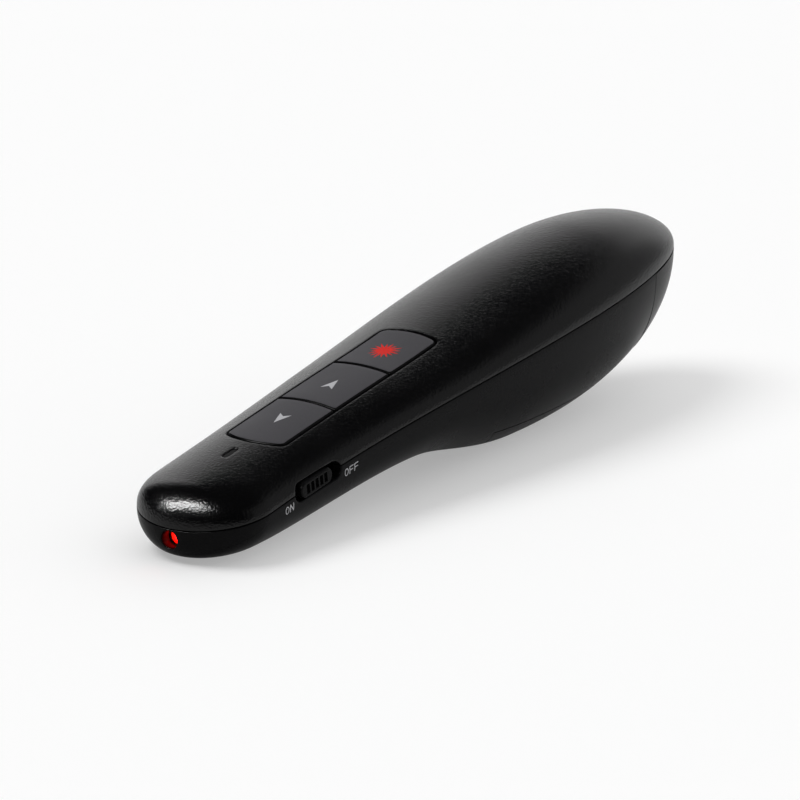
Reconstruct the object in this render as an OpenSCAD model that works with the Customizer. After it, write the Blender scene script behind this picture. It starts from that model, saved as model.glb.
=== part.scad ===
// Handheld presentation remote with a laser in its nose, three keys and a power slide.
// X runs along the beam from tail to nose, Z is up and the floor is at zero.
// A station is a distance in millimetres behind the nose tip.

/* [Body in plan] */
// Length from the nose tip to the end of the tail
length = 140; // [138:0.5:146]
// Width of the slim neck under the keys
neck_width = 24.8; // [24.4:0.1:27]
// Greatest width, across the rear belly
belly_width = 32.2; // [31.6:0.1:36]
// Station where the neck begins to widen
swell_start = 18; // [10:0.5:24]
// Station of the greatest width
belly_at = 91.5; // [88:0.5:95]
// Length of the rounding of the nose in plan
nose_round = 11; // [8:0.5:13]
// Thickness of the moulded walls
wall = 1.8; // [1.5:0.05:1.9]

/* [Body from the side] */
// Height of the seam at the nose tip
seam_nose = 5.95; // [5.8:0.05:6.4]
// Height of the seam at the tail
seam_tail = 24.35; // [24:0.05:25.6]
// Rise of the seam above its straight chord
seam_bow = 2.1; // [1.8:0.1:2.6]
// Gap that shows as the dark seam line
seam_gap = 0.2; // [0.1:0.05:0.3]
// Height of the top above the seam along the neck
crown_front = 5.5; // [5.4:0.1:6]
// Height of the top above the seam over the belly
crown_rear = 9.1; // [8.6:0.1:10]
// Station where the top begins to rise away from the seam
crown_start = 55; // [45:1:60]
// Station where the top is highest above the seam
crown_at = 112.5; // [108:0.5:118]
// Length of the rounding of the nose above the seam
crown_round = 5; // [4:0.5:7]
// Clear height of the finger arch under the neck
arch_height = 3.8; // [3:0.1:4.2]
// Station where the arch leaves the floor
arch_start = 12; // [10:0.5:15]
// Station of the top of the arch
arch_at = 56; // [52:0.5:60]
// Station where the belly touches the floor
keel_at = 85; // [82:0.5:90]
// Length of the rounding of the nose below the seam
keel_round = 15.5; // [13:0.5:18]
// Depth that the underside is pressed flat by to rest on
rest_cut = 0.45; // [0.3:0.05:0.55]

/* [Key panel] */
// Station of the middle key's centre
panel_at = 45; // [44:0.5:46]
// Slope of the key panel, of the board and of the power slide
deck_tilt = 8.7; // [8:0.1:9.4]
// Width of the keys
key_width = 11.6; // [10.6:0.1:12.4]
// Distance between the gaps before and behind the middle key
key_pitch = 15.6; // [15:0.1:16]
// Length of the front key on the midline
front_key_length = 16.3; // [15.8:0.1:16.6]
// Length of the rear key on the midline
rear_key_length = 14.5; // [14:0.1:15]
// How far the front key's front edge bows out
front_bow = 1.9; // [1.6:0.1:2.4]
// How far the rear key's rear edge bows out
rear_bow = 0.7; // [0.4:0.1:1]
// Radius of the panel's corners
panel_corner = 1.4; // [1.4:0.1:2]
// Gap between two keys
key_gap = 0.35; // [0.3:0.05:0.5]
// Gap between the keys and their opening
key_clear = 0.3; // [0.25:0.05:0.5]
// Travel of a key
key_travel = 0.5; // [0.3:0.05:0.55]
// How far the keys stand above the housing
key_proud = 0.1; // [0.05:0.05:0.6]
// Radius of the keys' tops across the panel
key_top_radius = 30; // [24:1:40]
// Thickness of a key's skin
key_skin = 1.1; // [0.9:0.05:1.3]

/* [Board] */
// Depth of the board's face below the key panel
board_drop = 7.3; // [7.2:0.05:7.6]
// Width of the board
board_width = 18.8; // [17.6:0.1:19.2]
// Thickness of the board
board_thick = 1.2; // [1:0.1:1.4]
// Side of a tactile switch
tact_size = 6; // [5:0.1:6.4]
// Height of a tactile switch's body
tact_height = 2.7; // [2.4:0.1:2.8]
// Height of the plunger above its switch
plunger_height = 0.8; // [0.7:0.05:0.9]
// Radius of a plunger
plunger_radius = 1.7; // [1.2:0.1:2]

/* [Power slide] */
// Length of the slide's knob
knob_length = 9; // [8:0.1:9.6]
// Height of the slide's knob
knob_height = 2.7; // [2.2:0.1:3]
// How far the knob stands out of the side
knob_proud = 0.15; // [0.05:0.05:0.8]
// Travel from ON to OFF
slide_travel = 1.5; // [1.2:0.1:1.8]
// Spare room at each end of the slide's slot
slot_spare = 0.85; // [0.4:0.05:1]
// Distance of the slot's centre in front of the middle key's centre
slot_ahead = 22.4; // [22:0.1:23]
// Grip grooves on the knob
grooves = 5; // [3:1:6]

/* [Laser] */
// Height of the beam above the floor
beam_height = 3.95; // [3.9:0.05:4.2]
// Radius of the hole in the nose
aperture_radius = 1.6; // [1.2:0.1:1.8]
// Station of the barrel's front end
barrel_at = 2.6; // [2.4:0.1:3]
// Radius of the brass barrel
barrel_radius = 2.5; // [2.3:0.05:2.6]
// Length of the brass barrel
barrel_length = 9.6; // [8.5:0.1:10]

/* [Power cells] */
// Radius of a cell
cell_radius = 5.25; // [5:0.05:5.3]
// Length of a cell over its nub
cell_length = 44.5; // [43.5:0.1:44.7]
// Height of the cells' axes above the floor
cell_height = 11; // [10.8:0.05:11.2]
// Length of a fitted contact spring
spring_length = 3.4; // [3.2:0.1:3.6]
// Turns of a contact spring
spring_turns = 3; // [2:0.5:3]
// Radius of the spring's wire
wire_radius = 0.25; // [0.2:0.01:0.26]

/* [Battery door] */
// Station of the door's front edge, at its upper end
door_front = 75.5; // [74:0.5:78]
// Height of the flat plane that the door slides along
door_height = 4.75; // [4.5:0.05:5]
// Lean of the door's front edge from upright
door_lean = 40; // [30:1:45]
// Gap round the door
door_gap = 0.2; // [0.15:0.05:0.3]

/* [Receiver] */
// Length of the receiver's housing, which forms the lower tail
receiver_length = 18.4; // [17.6:0.1:19]
// Width of the plug
plug_width = 12; // [11.8:0.1:12.2]
// Height of the plug
plug_height = 4.5; // [4.3:0.1:4.6]
// Length of the plug
plug_length = 11.8; // [10.5:0.1:12]

/* [Hidden] */
$fn = 48;

// Colours
shell_black = [0.09, 0.09, 0.1];
key_grey = [0.35, 0.34, 0.36];
board_green = [0.1, 0.32, 0.18];
part_black = [0.14, 0.14, 0.15];
steel = [0.72, 0.73, 0.75];
brass = [0.78, 0.62, 0.3];
glass = [0.75, 0.85, 0.9];
cell_wrap = [0.2, 0.24, 0.32];
cream = [0.85, 0.84, 0.78];
tan_brown = [0.7, 0.5, 0.25];

// Powers of the rounded ends and of the cross-sections
nose_power = 2;
tail_power = 2.25;
crown_nose_power = 2.2;
crown_tail_power = 1.8;
keel_nose_power = 4;
keel_tail_power = 2.1;
top_power = 2;
bottom_power = 2.2;

// Steps of the housing's mesh along and around the body
steps_along = 36;
steps_around = 14;

// Small clearances and thicknesses shared by the inner pieces
fit = 0.05;
clear = 0.3;
relief = 0.15;
past = 1;
rib = 1.2;
plate = 0.4;

function at(station) = length / 2 - station;
function smooth(t) = let (c = min(max(t, 0), 1)) c * c * (3 - 2 * c);
function round_end(run, span, power) =
    let (c = min(max(run / span, 0), 1)) pow(1 - pow(1 - c, power), 1 / power);
function ends(s, inset, nose, nose_pow, peak, tail_pow) =
    round_end(s - inset, nose, nose_pow) * round_end(length - inset - s, length - inset - peak, tail_pow);

// Seam height, and the body's half width, crown and depth, each inset from the outer skin
function seam(s) =
    seam_nose + (seam_tail - seam_nose) * s / length + 4 * seam_bow * (s / length) * (1 - s / length);
function half_width(s, inset) =
    (neck_width / 2 - inset
        + (belly_width - neck_width) / 2 * smooth((s - swell_start) / (belly_at - swell_start)))
    * ends(s, inset, nose_round, nose_power, belly_at, tail_power);
function crown(s, inset) =
    (crown_front - inset
        + (crown_rear - crown_front) * smooth((s - crown_start) / (crown_at - crown_start)))
    * ends(s, inset, crown_round, crown_nose_power, crown_at, crown_tail_power);
function arch(s) =
    arch_height * (smooth((s - arch_start) / (arch_at - arch_start))
        - smooth((s - arch_at) / (keel_at - arch_at)));
function depth(s, inset) =
    (seam(s) - seam_gap - arch(s) + rest_cut - inset)
    * ends(s, inset, keel_round, keel_nose_power, keel_at, keel_tail_power);

// One point of the skin: the angle runs over the body from its left seam to its right seam
function bent(v, power) = sign(v) * pow(abs(v), 2 / power);
function top_point(s, a, inset) = [
    at(s),
    half_width(s, inset) * bent(cos(a), top_power),
    seam(s) + crown(s, inset) * bent(sin(a), top_power)
];
function bottom_point(s, a, inset) = [
    at(s),
    half_width(s, inset) * bent(cos(a), bottom_power),
    max(seam(s) - seam_gap - depth(s, inset) * bent(sin(a), bottom_power), 0)
];

// A sheet of the skin: one tip, rings of points, one tip
function station_of(i, inset) =
    inset + (length - 2 * inset) * (1 - cos(180 * i / steps_along)) / 2;
function angle_of(j) = 180 * j / steps_around;
function skin(upper, inset) = [
    for (i = [0:steps_along])
        for (j = [0:i == 0 || i == steps_along ? 0 : steps_around])
            upper
                ? top_point(station_of(i, inset), angle_of(j), inset)
                : bottom_point(station_of(i, inset), angle_of(j), inset)
];
sheet_size = (steps_along - 1) * (steps_around + 1) + 2;
function spot(i, j) =
    i == 0 ? 0 : i == steps_along ? sheet_size - 1 : 1 + (i - 1) * (steps_around + 1) + j;
function pane(a, b, c, d) = [
    if (a != b && b != c) [a, b, c],
    if (a != d && c != d) [a, c, d]
];
function sheet_faces(first, turned) = [
    for (i = [0:steps_along - 1])
        for (j = [0:steps_around - 1])
            for (f = pane(spot(i, j), spot(i + 1, j), spot(i + 1, j + 1), spot(i, j + 1)))
                let (g = [for (v = f) v + first])
                    turned ? [g[2], g[1], g[0]] : g
];
function rim_faces(j, second, turned) = [
    for (i = [0:steps_along - 1])
        for (f = pane(spot(i, j), spot(i, j) + second, spot(i + 1, j) + second, spot(i + 1, j)))
            turned ? [f[2], f[1], f[0]] : f
];
function lid_faces(turned) = [
    for (i = [0:steps_along - 1])
        for (f = pane(spot(i, 0), spot(i, steps_around), spot(i + 1, steps_around), spot(i + 1, 0)))
            turned ? [f[2], f[1], f[0]] : f
];

// Half of the housing as a hollow moulding, and as a solid to trim other pieces with
module half_shell(upper) {
    polyhedron(
        concat(skin(upper, 0), skin(upper, wall)),
        concat(
            sheet_faces(0, upper),
            sheet_faces(sheet_size, !upper),
            rim_faces(0, sheet_size, upper),
            rim_faces(steps_around, sheet_size, !upper)
        ),
        convexity = 6
    );
}
module half_solid(upper, inset) {
    polyhedron(
        skin(upper, inset),
        concat(sheet_faces(0, upper), lid_faces(upper)),
        convexity = 4
    );
}

// The deck: a sloped frame whose origin is on top of the housing at the middle key
panel_top = seam(panel_at) + crown(panel_at, 0);
function deck_x(x, z) = at(panel_at) + x * cos(deck_tilt) + z * sin(deck_tilt);
module on_deck() {
    translate([at(panel_at), 0, panel_top])
        rotate([0, deck_tilt, 0])
            children();
}
module deck_box(x, y, z) {
    translate([x[0], y[0], z[0]])
        cube([x[1] - x[0], y[1] - y[0], z[1] - z[0]]);
}
module stadium(long, high) {
    square([long - high, high], center = true);
    for (side = [-1, 1])
        translate([side * (long - high) / 2, 0])
            circle(d = high);
}

// A block between two stations, two widths and two heights
module block(stations, y, z) {
    translate([at(stations[1]), y[0], z[0]])
        cube([stations[1] - stations[0], y[1] - y[0], z[1] - z[0]]);
}
module along_beam(station, y, z) {
    translate([at(station), y, z])
        rotate([0, 90, 0])
            children();
}

// Key panel
panel_front = key_pitch / 2 + front_key_length;
panel_rear = -key_pitch / 2 - rear_key_length;
far = 2 * length;
corner_steps = 6;
bow_steps = 12;
function arc_points(centre, radius, from, to, steps, skip) = [
    for (k = [skip:steps - skip])
        let (turn = from + (to - from) * k / steps)
            [centre[0] + radius * cos(turn), centre[1] + radius * sin(turn)]
];

// One end of the panel: a bow between two corners that touch it and the straight sides
function end_points(edge, bow, grow) =
    let (
        half = key_width / 2,
        side = half - panel_corner,
        bend = (half * half + bow * bow) / (2 * bow),
        middle = edge - bend,
        back = sqrt(pow(bend - panel_corner, 2) - side * side),
        tip = atan2(side, back),
        corner = max(panel_corner + grow, fit)
    )
    concat(
        arc_points([middle + back, -side], corner, -90, -tip, corner_steps, 0),
        arc_points([middle, 0], bend + grow, -tip, tip, bow_steps, 1),
        arc_points([middle + back, side], corner, tip, 90, corner_steps, 0)
    );
module panel_outline(grow) {
    rear = end_points(-panel_rear, rear_bow, grow);
    polygon(concat(end_points(panel_front, front_bow, grow), [for (p = rear) -p]));
}
flange_top = -3.2;
flange_thick = 0.6;
flange_out = 0.8;
flange_half = key_width / 2 + key_clear + flange_out;
key_base = flange_top - flange_thick;
stem_radius = 1.5;
stem_end = -board_drop + tact_height + plunger_height + fit;
function key_span(i) =
    i == 0 ? [key_pitch / 2 + key_gap / 2, panel_front]
    : i == 1 ? [-key_pitch / 2 + key_gap / 2, key_pitch / 2 - key_gap / 2]
    : [panel_rear, -key_pitch / 2 - key_gap / 2];
function key_centre(i) = (key_span(i)[0] + key_span(i)[1]) / 2;
module key_slice(span, grow) {
    intersection() {
        panel_outline(grow);
        translate([span[0], -key_width])
            square([span[1] - span[0], 2 * key_width]);
    }
}
module key_cap(i) {
    span = key_span(i);
    inner = [span[0] + key_skin, span[1] - key_skin];
    flange = [span[0] + (i == 2 ? rear_bow : 0), span[1] - (i == 0 ? front_bow : 0)];
    on_deck() {
        difference() {
            union() {
                intersection() {
                    translate([0, 0, key_base])
                        linear_extrude(-key_base + past)
                            key_slice(span, 0);
                    translate([span[0] - past, 0, key_proud - key_top_radius])
                        rotate([0, 90, 0])
                            cylinder(r = key_top_radius, h = span[1] - span[0] + 2 * past, $fn = 128);
                }
                deck_box(flange, [-flange_half, flange_half], [key_base, flange_top]);
            }
            translate([0, 0, key_base - past])
                linear_extrude(past - key_base - key_skin)
                    intersection() {
                        key_slice(inner, -key_skin);
                        square([far, key_width - 2 * key_skin], center = true);
                    }
        }
        translate([key_centre(i), 0, stem_end])
            cylinder(r = stem_radius, h = -stem_end - key_skin + fit);
    }
}

// Tactile switches
plunger_sink = 0.7;
module tact_body(i) {
    on_deck()
        difference() {
            translate([key_centre(i) - tact_size / 2, -tact_size / 2, -board_drop])
                cube([tact_size, tact_size, tact_height]);
            translate([key_centre(i), 0, -board_drop + tact_height - plunger_sink - key_travel - relief])
                cylinder(r = plunger_radius + fit, h = tact_height);
        }
}
module tact_plunger(i) {
    on_deck()
        translate([key_centre(i), 0, -board_drop + tact_height - plunger_sink])
            cylinder(r = plunger_radius, h = plunger_sink + plunger_height);
}

// Board
led_ahead = 28.9;
board_front = 32.3;
board_rim = 0.7;
board_rear = key_centre(2) - tact_size / 2 - board_rim;
board_face = -board_drop;
board_back = -board_drop - board_thick;
post_radius = 1.3;
post_spots = [[29, 7.4], [6, 7.4], [-16, 7.4]];

// Status light
pipe_long = 3.3;
pipe_wide = 0.8;
pipe_base_wide = 1.6;
pipe_shoulder = -2.9;
pipe_down = 0.45;
led_size = [2, 1.25, 0.9];

// Power slide
switch_half_length = 4.3;
switch_height = 2.8;
switch_in = 4.6;
switch_out = 8.4;
lever_half = 0.7;
lever_tip = 10.4;
slide_back = 8.9;
slide_tab = 0.8;
slot_drop = -board_drop + switch_height / 2;
slot_length = knob_length + slide_travel + 2 * slot_spare;
slot_high = knob_height + 2 * clear;
slide_rest = slot_ahead + slide_travel / 2;
lever_run = slide_travel / 2 + lever_half + relief;
knob_face = half_width(panel_at - slot_ahead, 0) + knob_proud;
tab_length = slot_spare + slide_travel + clear;
groove_pitch = 1.15;
groove_wide = 0.55;
groove_high = 1.5;
groove_deep = 0.35;
module side_slot(long, high, from, to) {
    translate([0, from, slot_drop])
        rotate([-90, 0, 0])
            linear_extrude(to - from)
                stadium(long, high);
}
module slide_cut() {
    on_deck()
        translate([slot_ahead, 0, 0])
            side_slot(slot_length, slot_high, slide_back - slide_tab, belly_width);
}

// Laser
lens_radius = 1.85;
lens_thick = 1;
lens_bulge = 0.4;
lip_thick = 0.5;
lip_radius = 1.35;
ring_bore = 1.1;
ring_long = 0.8;
barrel_bore = lens_radius + fit;
diode_flange = 0.8;
diode_can_radius = 1.3;
diode_can_long = 2;
leg_radius = 0.23;
barrel_end = barrel_at + barrel_length;
driver_gap = 1;
driver_thick = 0.8;
driver_at = barrel_end + driver_gap;
driver_half = 2.8;
cradle_half = driver_half + rib;
driver_low = 1.8;
driver_high = 6.7;
leg_spread = 0.8;
lens_at = barrel_at + lip_thick + fit;

// Battery bay
cell_side = cell_radius + relief;
nub_radius = 1.9;
nub_length = 1;
front_wall = length / 2 - deck_x(board_rear, board_back) + clear;
bay_front = front_wall + rib;
cell_front = bay_front + plate;
cell_back = cell_front + cell_length + spring_length;
bay_rear = cell_back + plate;
rear_wall = bay_rear + rib;
roof_sink = 2.8;
roof_low = cell_height + roof_sink;
roof_top = cell_height + cell_side + rib;
roof_half = 2 * cell_side;
screw_first = 16;
screw_second = 37;
screw_stations = [bay_front + screw_first, bay_front + screw_second];
screw_radius = 1;
screw_length = 5;
head_radius = 2;
head_high = 1.2;
seat_thick = 1.1;
drive_long = 2.2;
drive_wide = 0.55;
drive_deep = 0.7;
boss_radius = 2.6;
contact_half = 4;
contact_low = cell_height - contact_half;
contact_high = cell_height + contact_half;
contact_reach = cell_side + contact_half;
tail_half = 0.75;
module contact_tail(side, from, to, grow) {
    middle = side * cell_side;
    block([from, to], [middle - tail_half - grow, middle + tail_half + grow],
        [cell_height - plate / 2 - grow, cell_height + plate / 2 + grow]);
}

// Receiver, which starts behind the rear bulkhead and its own spigot
spigot_long = 2.2;
receiver_at = max(length - receiver_length, rear_wall + spigot_long + relief);
plug_over = 0.35;
plug_low = cell_height + cell_radius + plug_over;
plug_skin = 0.4;
window_size = 2;
window_side = 2.4;
window_back = 5.2;
tongue_thick = 1.8;
tongue_top = plug_low + plug_height - plug_skin - fit;
spigot_half = 9;
spigot_low = 12;
spigot_over = 0.2;
spigot_high = plug_low + plug_height + spigot_over;

// Door
door_run = tan(door_lean);
hook_front = 2.4;
hook_back = 7.5;
hook_half = 3.5;
hook_low = 3.4;
hook_high = door_height - clear;
hook_foot = 0.6;
module door_profile(grow) {
    low = -past;
    high = door_height + grow;
    ahead = door_front - grow;
    rotate([90, 0, 0])
        linear_extrude(2 * belly_width, center = true)
            polygon([
                [at(ahead - grow * door_run), high],
                [at(ahead + (door_height - low) * door_run), low],
                [at(length + past), low],
                [at(length + past), high]
            ]);
}

module top_shell() {
    color(shell_black)
        difference() {
            union() {
                half_shell(true);
                intersection() {
                    half_solid(true, wall / 2);
                    union() {
                        on_deck()
                            translate([0, 0, flange_top + fit])
                                linear_extrude(-flange_top)
                                    panel_outline(key_clear + rib);
                        for (s = screw_stations)
                            translate([at(s), 0, roof_top])
                                cylinder(r = boss_radius, h = crown_rear + crown_front);
                    }
                }
            }
            on_deck() {
                translate([0, 0, flange_top - past])
                    linear_extrude(-flange_top + 2 * past)
                        panel_outline(key_clear);
                translate([led_ahead, 0, -board_drop])
                    linear_extrude(board_drop + past)
                        stadium(pipe_long + 2 * relief, pipe_wide + 2 * relief);
            }
            for (s = screw_stations)
                translate([at(s), 0, roof_top - past])
                    cylinder(r = screw_radius + fit, h = past + screw_length - seat_thick + relief);
            slide_cut();
        }
}

module bottom_shell() {
    color(shell_black)
        difference() {
            union() {
                half_shell(false);
                intersection() {
                    half_solid(false, wall / 2);
                    union() {
                        block([front_wall, bay_front], [-belly_width, belly_width], [0, seam_tail]);
                        block([bay_rear, rear_wall], [-belly_width, belly_width], [0, plug_low - clear]);
                        block([barrel_at, barrel_end], [-cradle_half, cradle_half], [0, beam_height]);
                        on_deck()
                            for (spot = post_spots)
                                for (side = [-1, 1])
                                    translate([spot[0], side * spot[1], board_back - belly_width])
                                        cylinder(r = post_radius, h = belly_width);
                    }
                }
                block([front_wall, rear_wall], [-roof_half, roof_half], [roof_low, roof_top]);
            }
            for (side = [-1, 1])
                along_beam(cell_back, side * cell_side, cell_height)
                    cylinder(r = cell_side, h = cell_back - cell_front);
            block([bay_front, bay_rear], [-contact_reach, contact_reach], [contact_low, contact_high]);
            block([receiver_at - plug_length - clear, length],
                [-plug_width / 2 - clear, plug_width / 2 + clear],
                [plug_low - clear, seam_tail]);
            for (side = [-1, 1])
                contact_tail(side, front_wall - past, bay_front + past, fit);
            for (s = screw_stations)
                translate([at(s), 0, door_height]) {
                    cylinder(r = head_radius + relief, h = roof_top - seat_thick - door_height);
                    cylinder(r = screw_radius + fit, h = roof_top + past - door_height);
                }
            on_deck()
                deck_box([panel_rear - past, panel_front], [-flange_half - clear, flange_half + clear],
                    [key_base - key_travel - relief, 0]);
            along_beam(barrel_end + past, 0, beam_height)
                cylinder(r = barrel_radius + fit, h = barrel_length + past);
            along_beam(barrel_end, 0, beam_height)
                cylinder(r = aperture_radius, h = barrel_end + past);
            door_profile(door_gap / 2);
            block([receiver_at - relief, length + past], [-belly_width, belly_width],
                [-past, seam_tail + past]);
            slide_cut();
        }
}

module battery_door() {
    color(shell_black) {
        intersection() {
            half_shell(false);
            door_profile(-door_gap / 2);
        }
        rotate([90, 0, 0])
            linear_extrude(2 * hook_half, center = true)
                polygon([
                    [at(door_front + hook_back), hook_foot],
                    [at(door_front + hook_back), hook_high],
                    [at(door_front - hook_front), hook_high],
                    [at(door_front - hook_front), hook_low],
                    [at(door_front + hook_back - rib), hook_low],
                    [at(door_front + hook_back - rib), hook_foot]
                ]);
    }
}

module page_down_key() { color(key_grey) key_cap(0); }
module page_up_key() { color(key_grey) key_cap(1); }
module laser_key() { color(key_grey) key_cap(2); }
module page_down_plunger() { color(cream) tact_plunger(0); }
module page_up_plunger() { color(cream) tact_plunger(1); }
module laser_plunger() { color(cream) tact_plunger(2); }
module page_down_switch() { color(part_black) tact_body(0); }
module page_up_switch() { color(part_black) tact_body(1); }
module laser_switch() { color(part_black) tact_body(2); }

module main_board() {
    color(board_green)
        on_deck()
            deck_box([board_rear, board_front], [-board_width / 2, board_width / 2],
                [board_back, board_face]);
}

// Components under the board, each by its place ahead and across and its size
module under_board(spot, size) {
    on_deck()
        translate([spot[0] - size[0] / 2, spot[1] - size[1] / 2, board_back - size[2]])
            cube(size);
}
chip_size = [5, 5, 0.9];
crystal_size = [3.2, 2.5, 0.8];
inductor_size = [4, 4, 2];
capacitor_size = [3.2, 1.6, 1.4];
chip_spot = [12, 0];
crystal_spot = [18, 1];
inductor_spot = [-8, -3];
capacitor_spot = [-8, 3];
module controller_chip() { color(part_black) under_board(chip_spot, chip_size); }
module crystal() { color(steel) under_board(crystal_spot, crystal_size); }
module boost_inductor() { color(part_black) under_board(inductor_spot, inductor_size); }
module filter_capacitor() { color(tan_brown) under_board(capacitor_spot, capacitor_size); }

module status_led() {
    color(cream)
        on_deck()
            translate([led_ahead - led_size[0] / 2, -led_size[1] / 2, board_face])
                cube(led_size);
}
module light_pipe() {
    color(glass)
        on_deck() {
            deck_box([led_ahead - pipe_long / 2, led_ahead + pipe_long / 2],
                [-pipe_base_wide / 2, pipe_base_wide / 2], [board_face + led_size[2] + fit, pipe_shoulder]);
            translate([led_ahead, 0, pipe_shoulder])
                linear_extrude(-pipe_shoulder - pipe_down)
                    stadium(pipe_long, pipe_wide);
        }
}

module slide_switch_body() {
    color(steel)
        on_deck()
            difference() {
                deck_box([slot_ahead - switch_half_length, slot_ahead + switch_half_length],
                    [switch_in, switch_out], [board_face, board_face + switch_height]);
                deck_box([slot_ahead - lever_run, slot_ahead + lever_run],
                    [switch_in + rib, switch_out + past],
                    [slot_drop - lever_half - fit, slot_drop + lever_half + fit]);
            }
}
module slide_switch_lever() {
    color(part_black)
        on_deck()
            deck_box([slide_rest - lever_half, slide_rest + lever_half],
                [switch_in + rib + relief, lever_tip],
                [slot_drop - lever_half, slot_drop + lever_half]);
}
module power_slide() {
    color(shell_black)
        on_deck()
            translate([slide_rest, 0, 0])
                difference() {
                    union() {
                        side_slot(knob_length, knob_height, slide_back, knob_face);
                        side_slot(knob_length + 2 * tab_length, knob_height - 2 * relief, slide_back,
                            slide_back + slide_tab);
                    }
                    deck_box([-lever_half - fit, lever_half + fit], [slide_back - past, lever_tip + fit],
                        [slot_drop - lever_half - fit, slot_drop + lever_half + fit]);
                    for (i = [0:grooves - 1])
                        translate([(i - (grooves - 1) / 2) * groove_pitch, knob_face, slot_drop])
                            cube([groove_wide, 2 * groove_deep, groove_high], center = true);
                }
}

module laser_barrel() {
    color(brass)
        along_beam(barrel_end, 0, beam_height)
            difference() {
                cylinder(r = barrel_radius, h = barrel_length);
                translate([0, 0, -past])
                    cylinder(r = barrel_bore, h = barrel_length + past - lip_thick);
                cylinder(r = lip_radius, h = barrel_length + past);
            }
}
module laser_lens() {
    bend = (lip_radius * lip_radius + lens_bulge * lens_bulge) / (2 * lens_bulge);
    color(glass)
        along_beam(lens_at + lens_thick, 0, beam_height) {
            cylinder(r = lens_radius, h = lens_thick);
            intersection() {
                translate([0, 0, lens_thick + lens_bulge - bend])
                    sphere(r = bend);
                cylinder(r = lip_radius - fit, h = lens_thick + lens_bulge);
            }
        }
}
module lens_retainer() {
    color(part_black)
        along_beam(lens_at + lens_thick + fit + ring_long, 0, beam_height)
            difference() {
                cylinder(r = lens_radius, h = ring_long);
                translate([0, 0, -past])
                    cylinder(r = ring_bore, h = ring_long + 2 * past);
            }
}
module laser_diode() {
    color(brass)
        along_beam(barrel_end, 0, beam_height) {
            cylinder(r = lens_radius, h = diode_flange);
            cylinder(r = diode_can_radius, h = diode_flange + diode_can_long);
            for (side = [-1, 1])
                translate([0, side * leg_spread, -driver_gap - driver_thick])
                    cylinder(r = leg_radius, h = driver_gap + driver_thick + fit);
        }
}
module laser_driver_board() {
    color(board_green)
        difference() {
            block([driver_at, driver_at + driver_thick], [-driver_half, driver_half],
                [driver_low, driver_high]);
            for (side = [-1, 1])
                along_beam(driver_at + driver_thick + past, side * leg_spread, beam_height)
                    cylinder(r = leg_radius + fit, h = driver_thick + 2 * past);
        }
}

// A cell with its nub to the nose
module cell_shape() {
    cylinder(r = cell_radius, h = cell_length - nub_length);
    cylinder(r = nub_radius, h = cell_length);
}
module left_cell() {
    color(cell_wrap)
        along_beam(cell_front + cell_length, cell_side, cell_height)
            cell_shape();
}
module right_cell() {
    color(cell_wrap)
        translate([at(cell_back - cell_length), -cell_side, cell_height])
            rotate([0, -90, 0])
                cell_shape();
}
module front_contact(side) {
    color(steel) {
        block([bay_front, cell_front],
            [side * cell_side - contact_half + relief, side * cell_side + contact_half - relief],
            [contact_low + relief, contact_high - relief]);
        contact_tail(side, front_wall - relief, cell_front, 0);
    }
}
module left_contact() { front_contact(1); }
module right_contact() { front_contact(-1); }
module rear_contact() {
    color(steel)
        block([cell_back, bay_rear], [-contact_reach + relief, contact_reach - relief],
            [contact_low + relief, contact_high - relief]);
}

// A contact spring as one tube round a cone, from its wide foot to its narrow tip
spring_foot = 3.6;
spring_tip = 2.5;
curl_rings = 8;
wire_sides = 6;
spring_rings = curl_rings * spring_turns;
spring_rise = spring_length - 2 * wire_radius - 2 * fit;
function coil_radius(t) = spring_foot + (spring_tip - spring_foot) * t;
function coil_point(t, out, up) = [
    (coil_radius(t) + out) * cos(360 * spring_turns * t),
    (coil_radius(t) + out) * sin(360 * spring_turns * t),
    wire_radius + fit + spring_rise * t + up
];
spring_gap = let (pitch = spring_rise / spring_turns, draw = (spring_foot - spring_tip) / spring_turns)
    sqrt(pitch * pitch + draw * draw) - 2 * wire_radius;
echo(least_gap_between_spring_turns = spring_gap);
module spring_shape() {
    points = [
        for (i = [0:spring_rings])
            for (j = [0:wire_sides - 1])
                coil_point(i / spring_rings, wire_radius * cos(360 * j / wire_sides),
                    wire_radius * sin(360 * j / wire_sides))
    ];
    sides = [
        for (i = [0:spring_rings - 1])
            for (j = [0:wire_sides - 1])
                let (
                    k = (j + 1) % wire_sides,
                    a = i * wire_sides + j,
                    b = i * wire_sides + k,
                    c = b + wire_sides,
                    d = a + wire_sides
                )
                    each [[a, b, d], [b, c, d]]
    ];
    first = [for (j = [1:wire_sides - 2]) [0, j + 1, j]];
    end = spring_rings * wire_sides;
    last = [for (j = [1:wire_sides - 2]) [end, end + j, end + j + 1]];
    polyhedron(points, concat(sides, first, last), convexity = 8);
}
module front_spring() {
    color(steel)
        translate([at(cell_front), -cell_side, cell_height])
            rotate([0, -90, 0])
                spring_shape();
}
module rear_spring() {
    color(steel)
        along_beam(cell_back, cell_side, cell_height)
            spring_shape();
}

module shell_screw(i) {
    color(steel)
        translate([at(screw_stations[i]), 0, roof_top - seat_thick]) {
            translate([0, 0, -head_high])
                difference() {
                    cylinder(r = head_radius, h = head_high);
                    for (turn = [0, 90])
                        rotate(turn)
                            cube([drive_long, drive_wide, 2 * drive_deep], center = true);
                }
            cylinder(r = screw_radius, h = screw_length);
        }
}
module front_screw() { shell_screw(0); }
module rear_screw() { shell_screw(1); }

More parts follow.
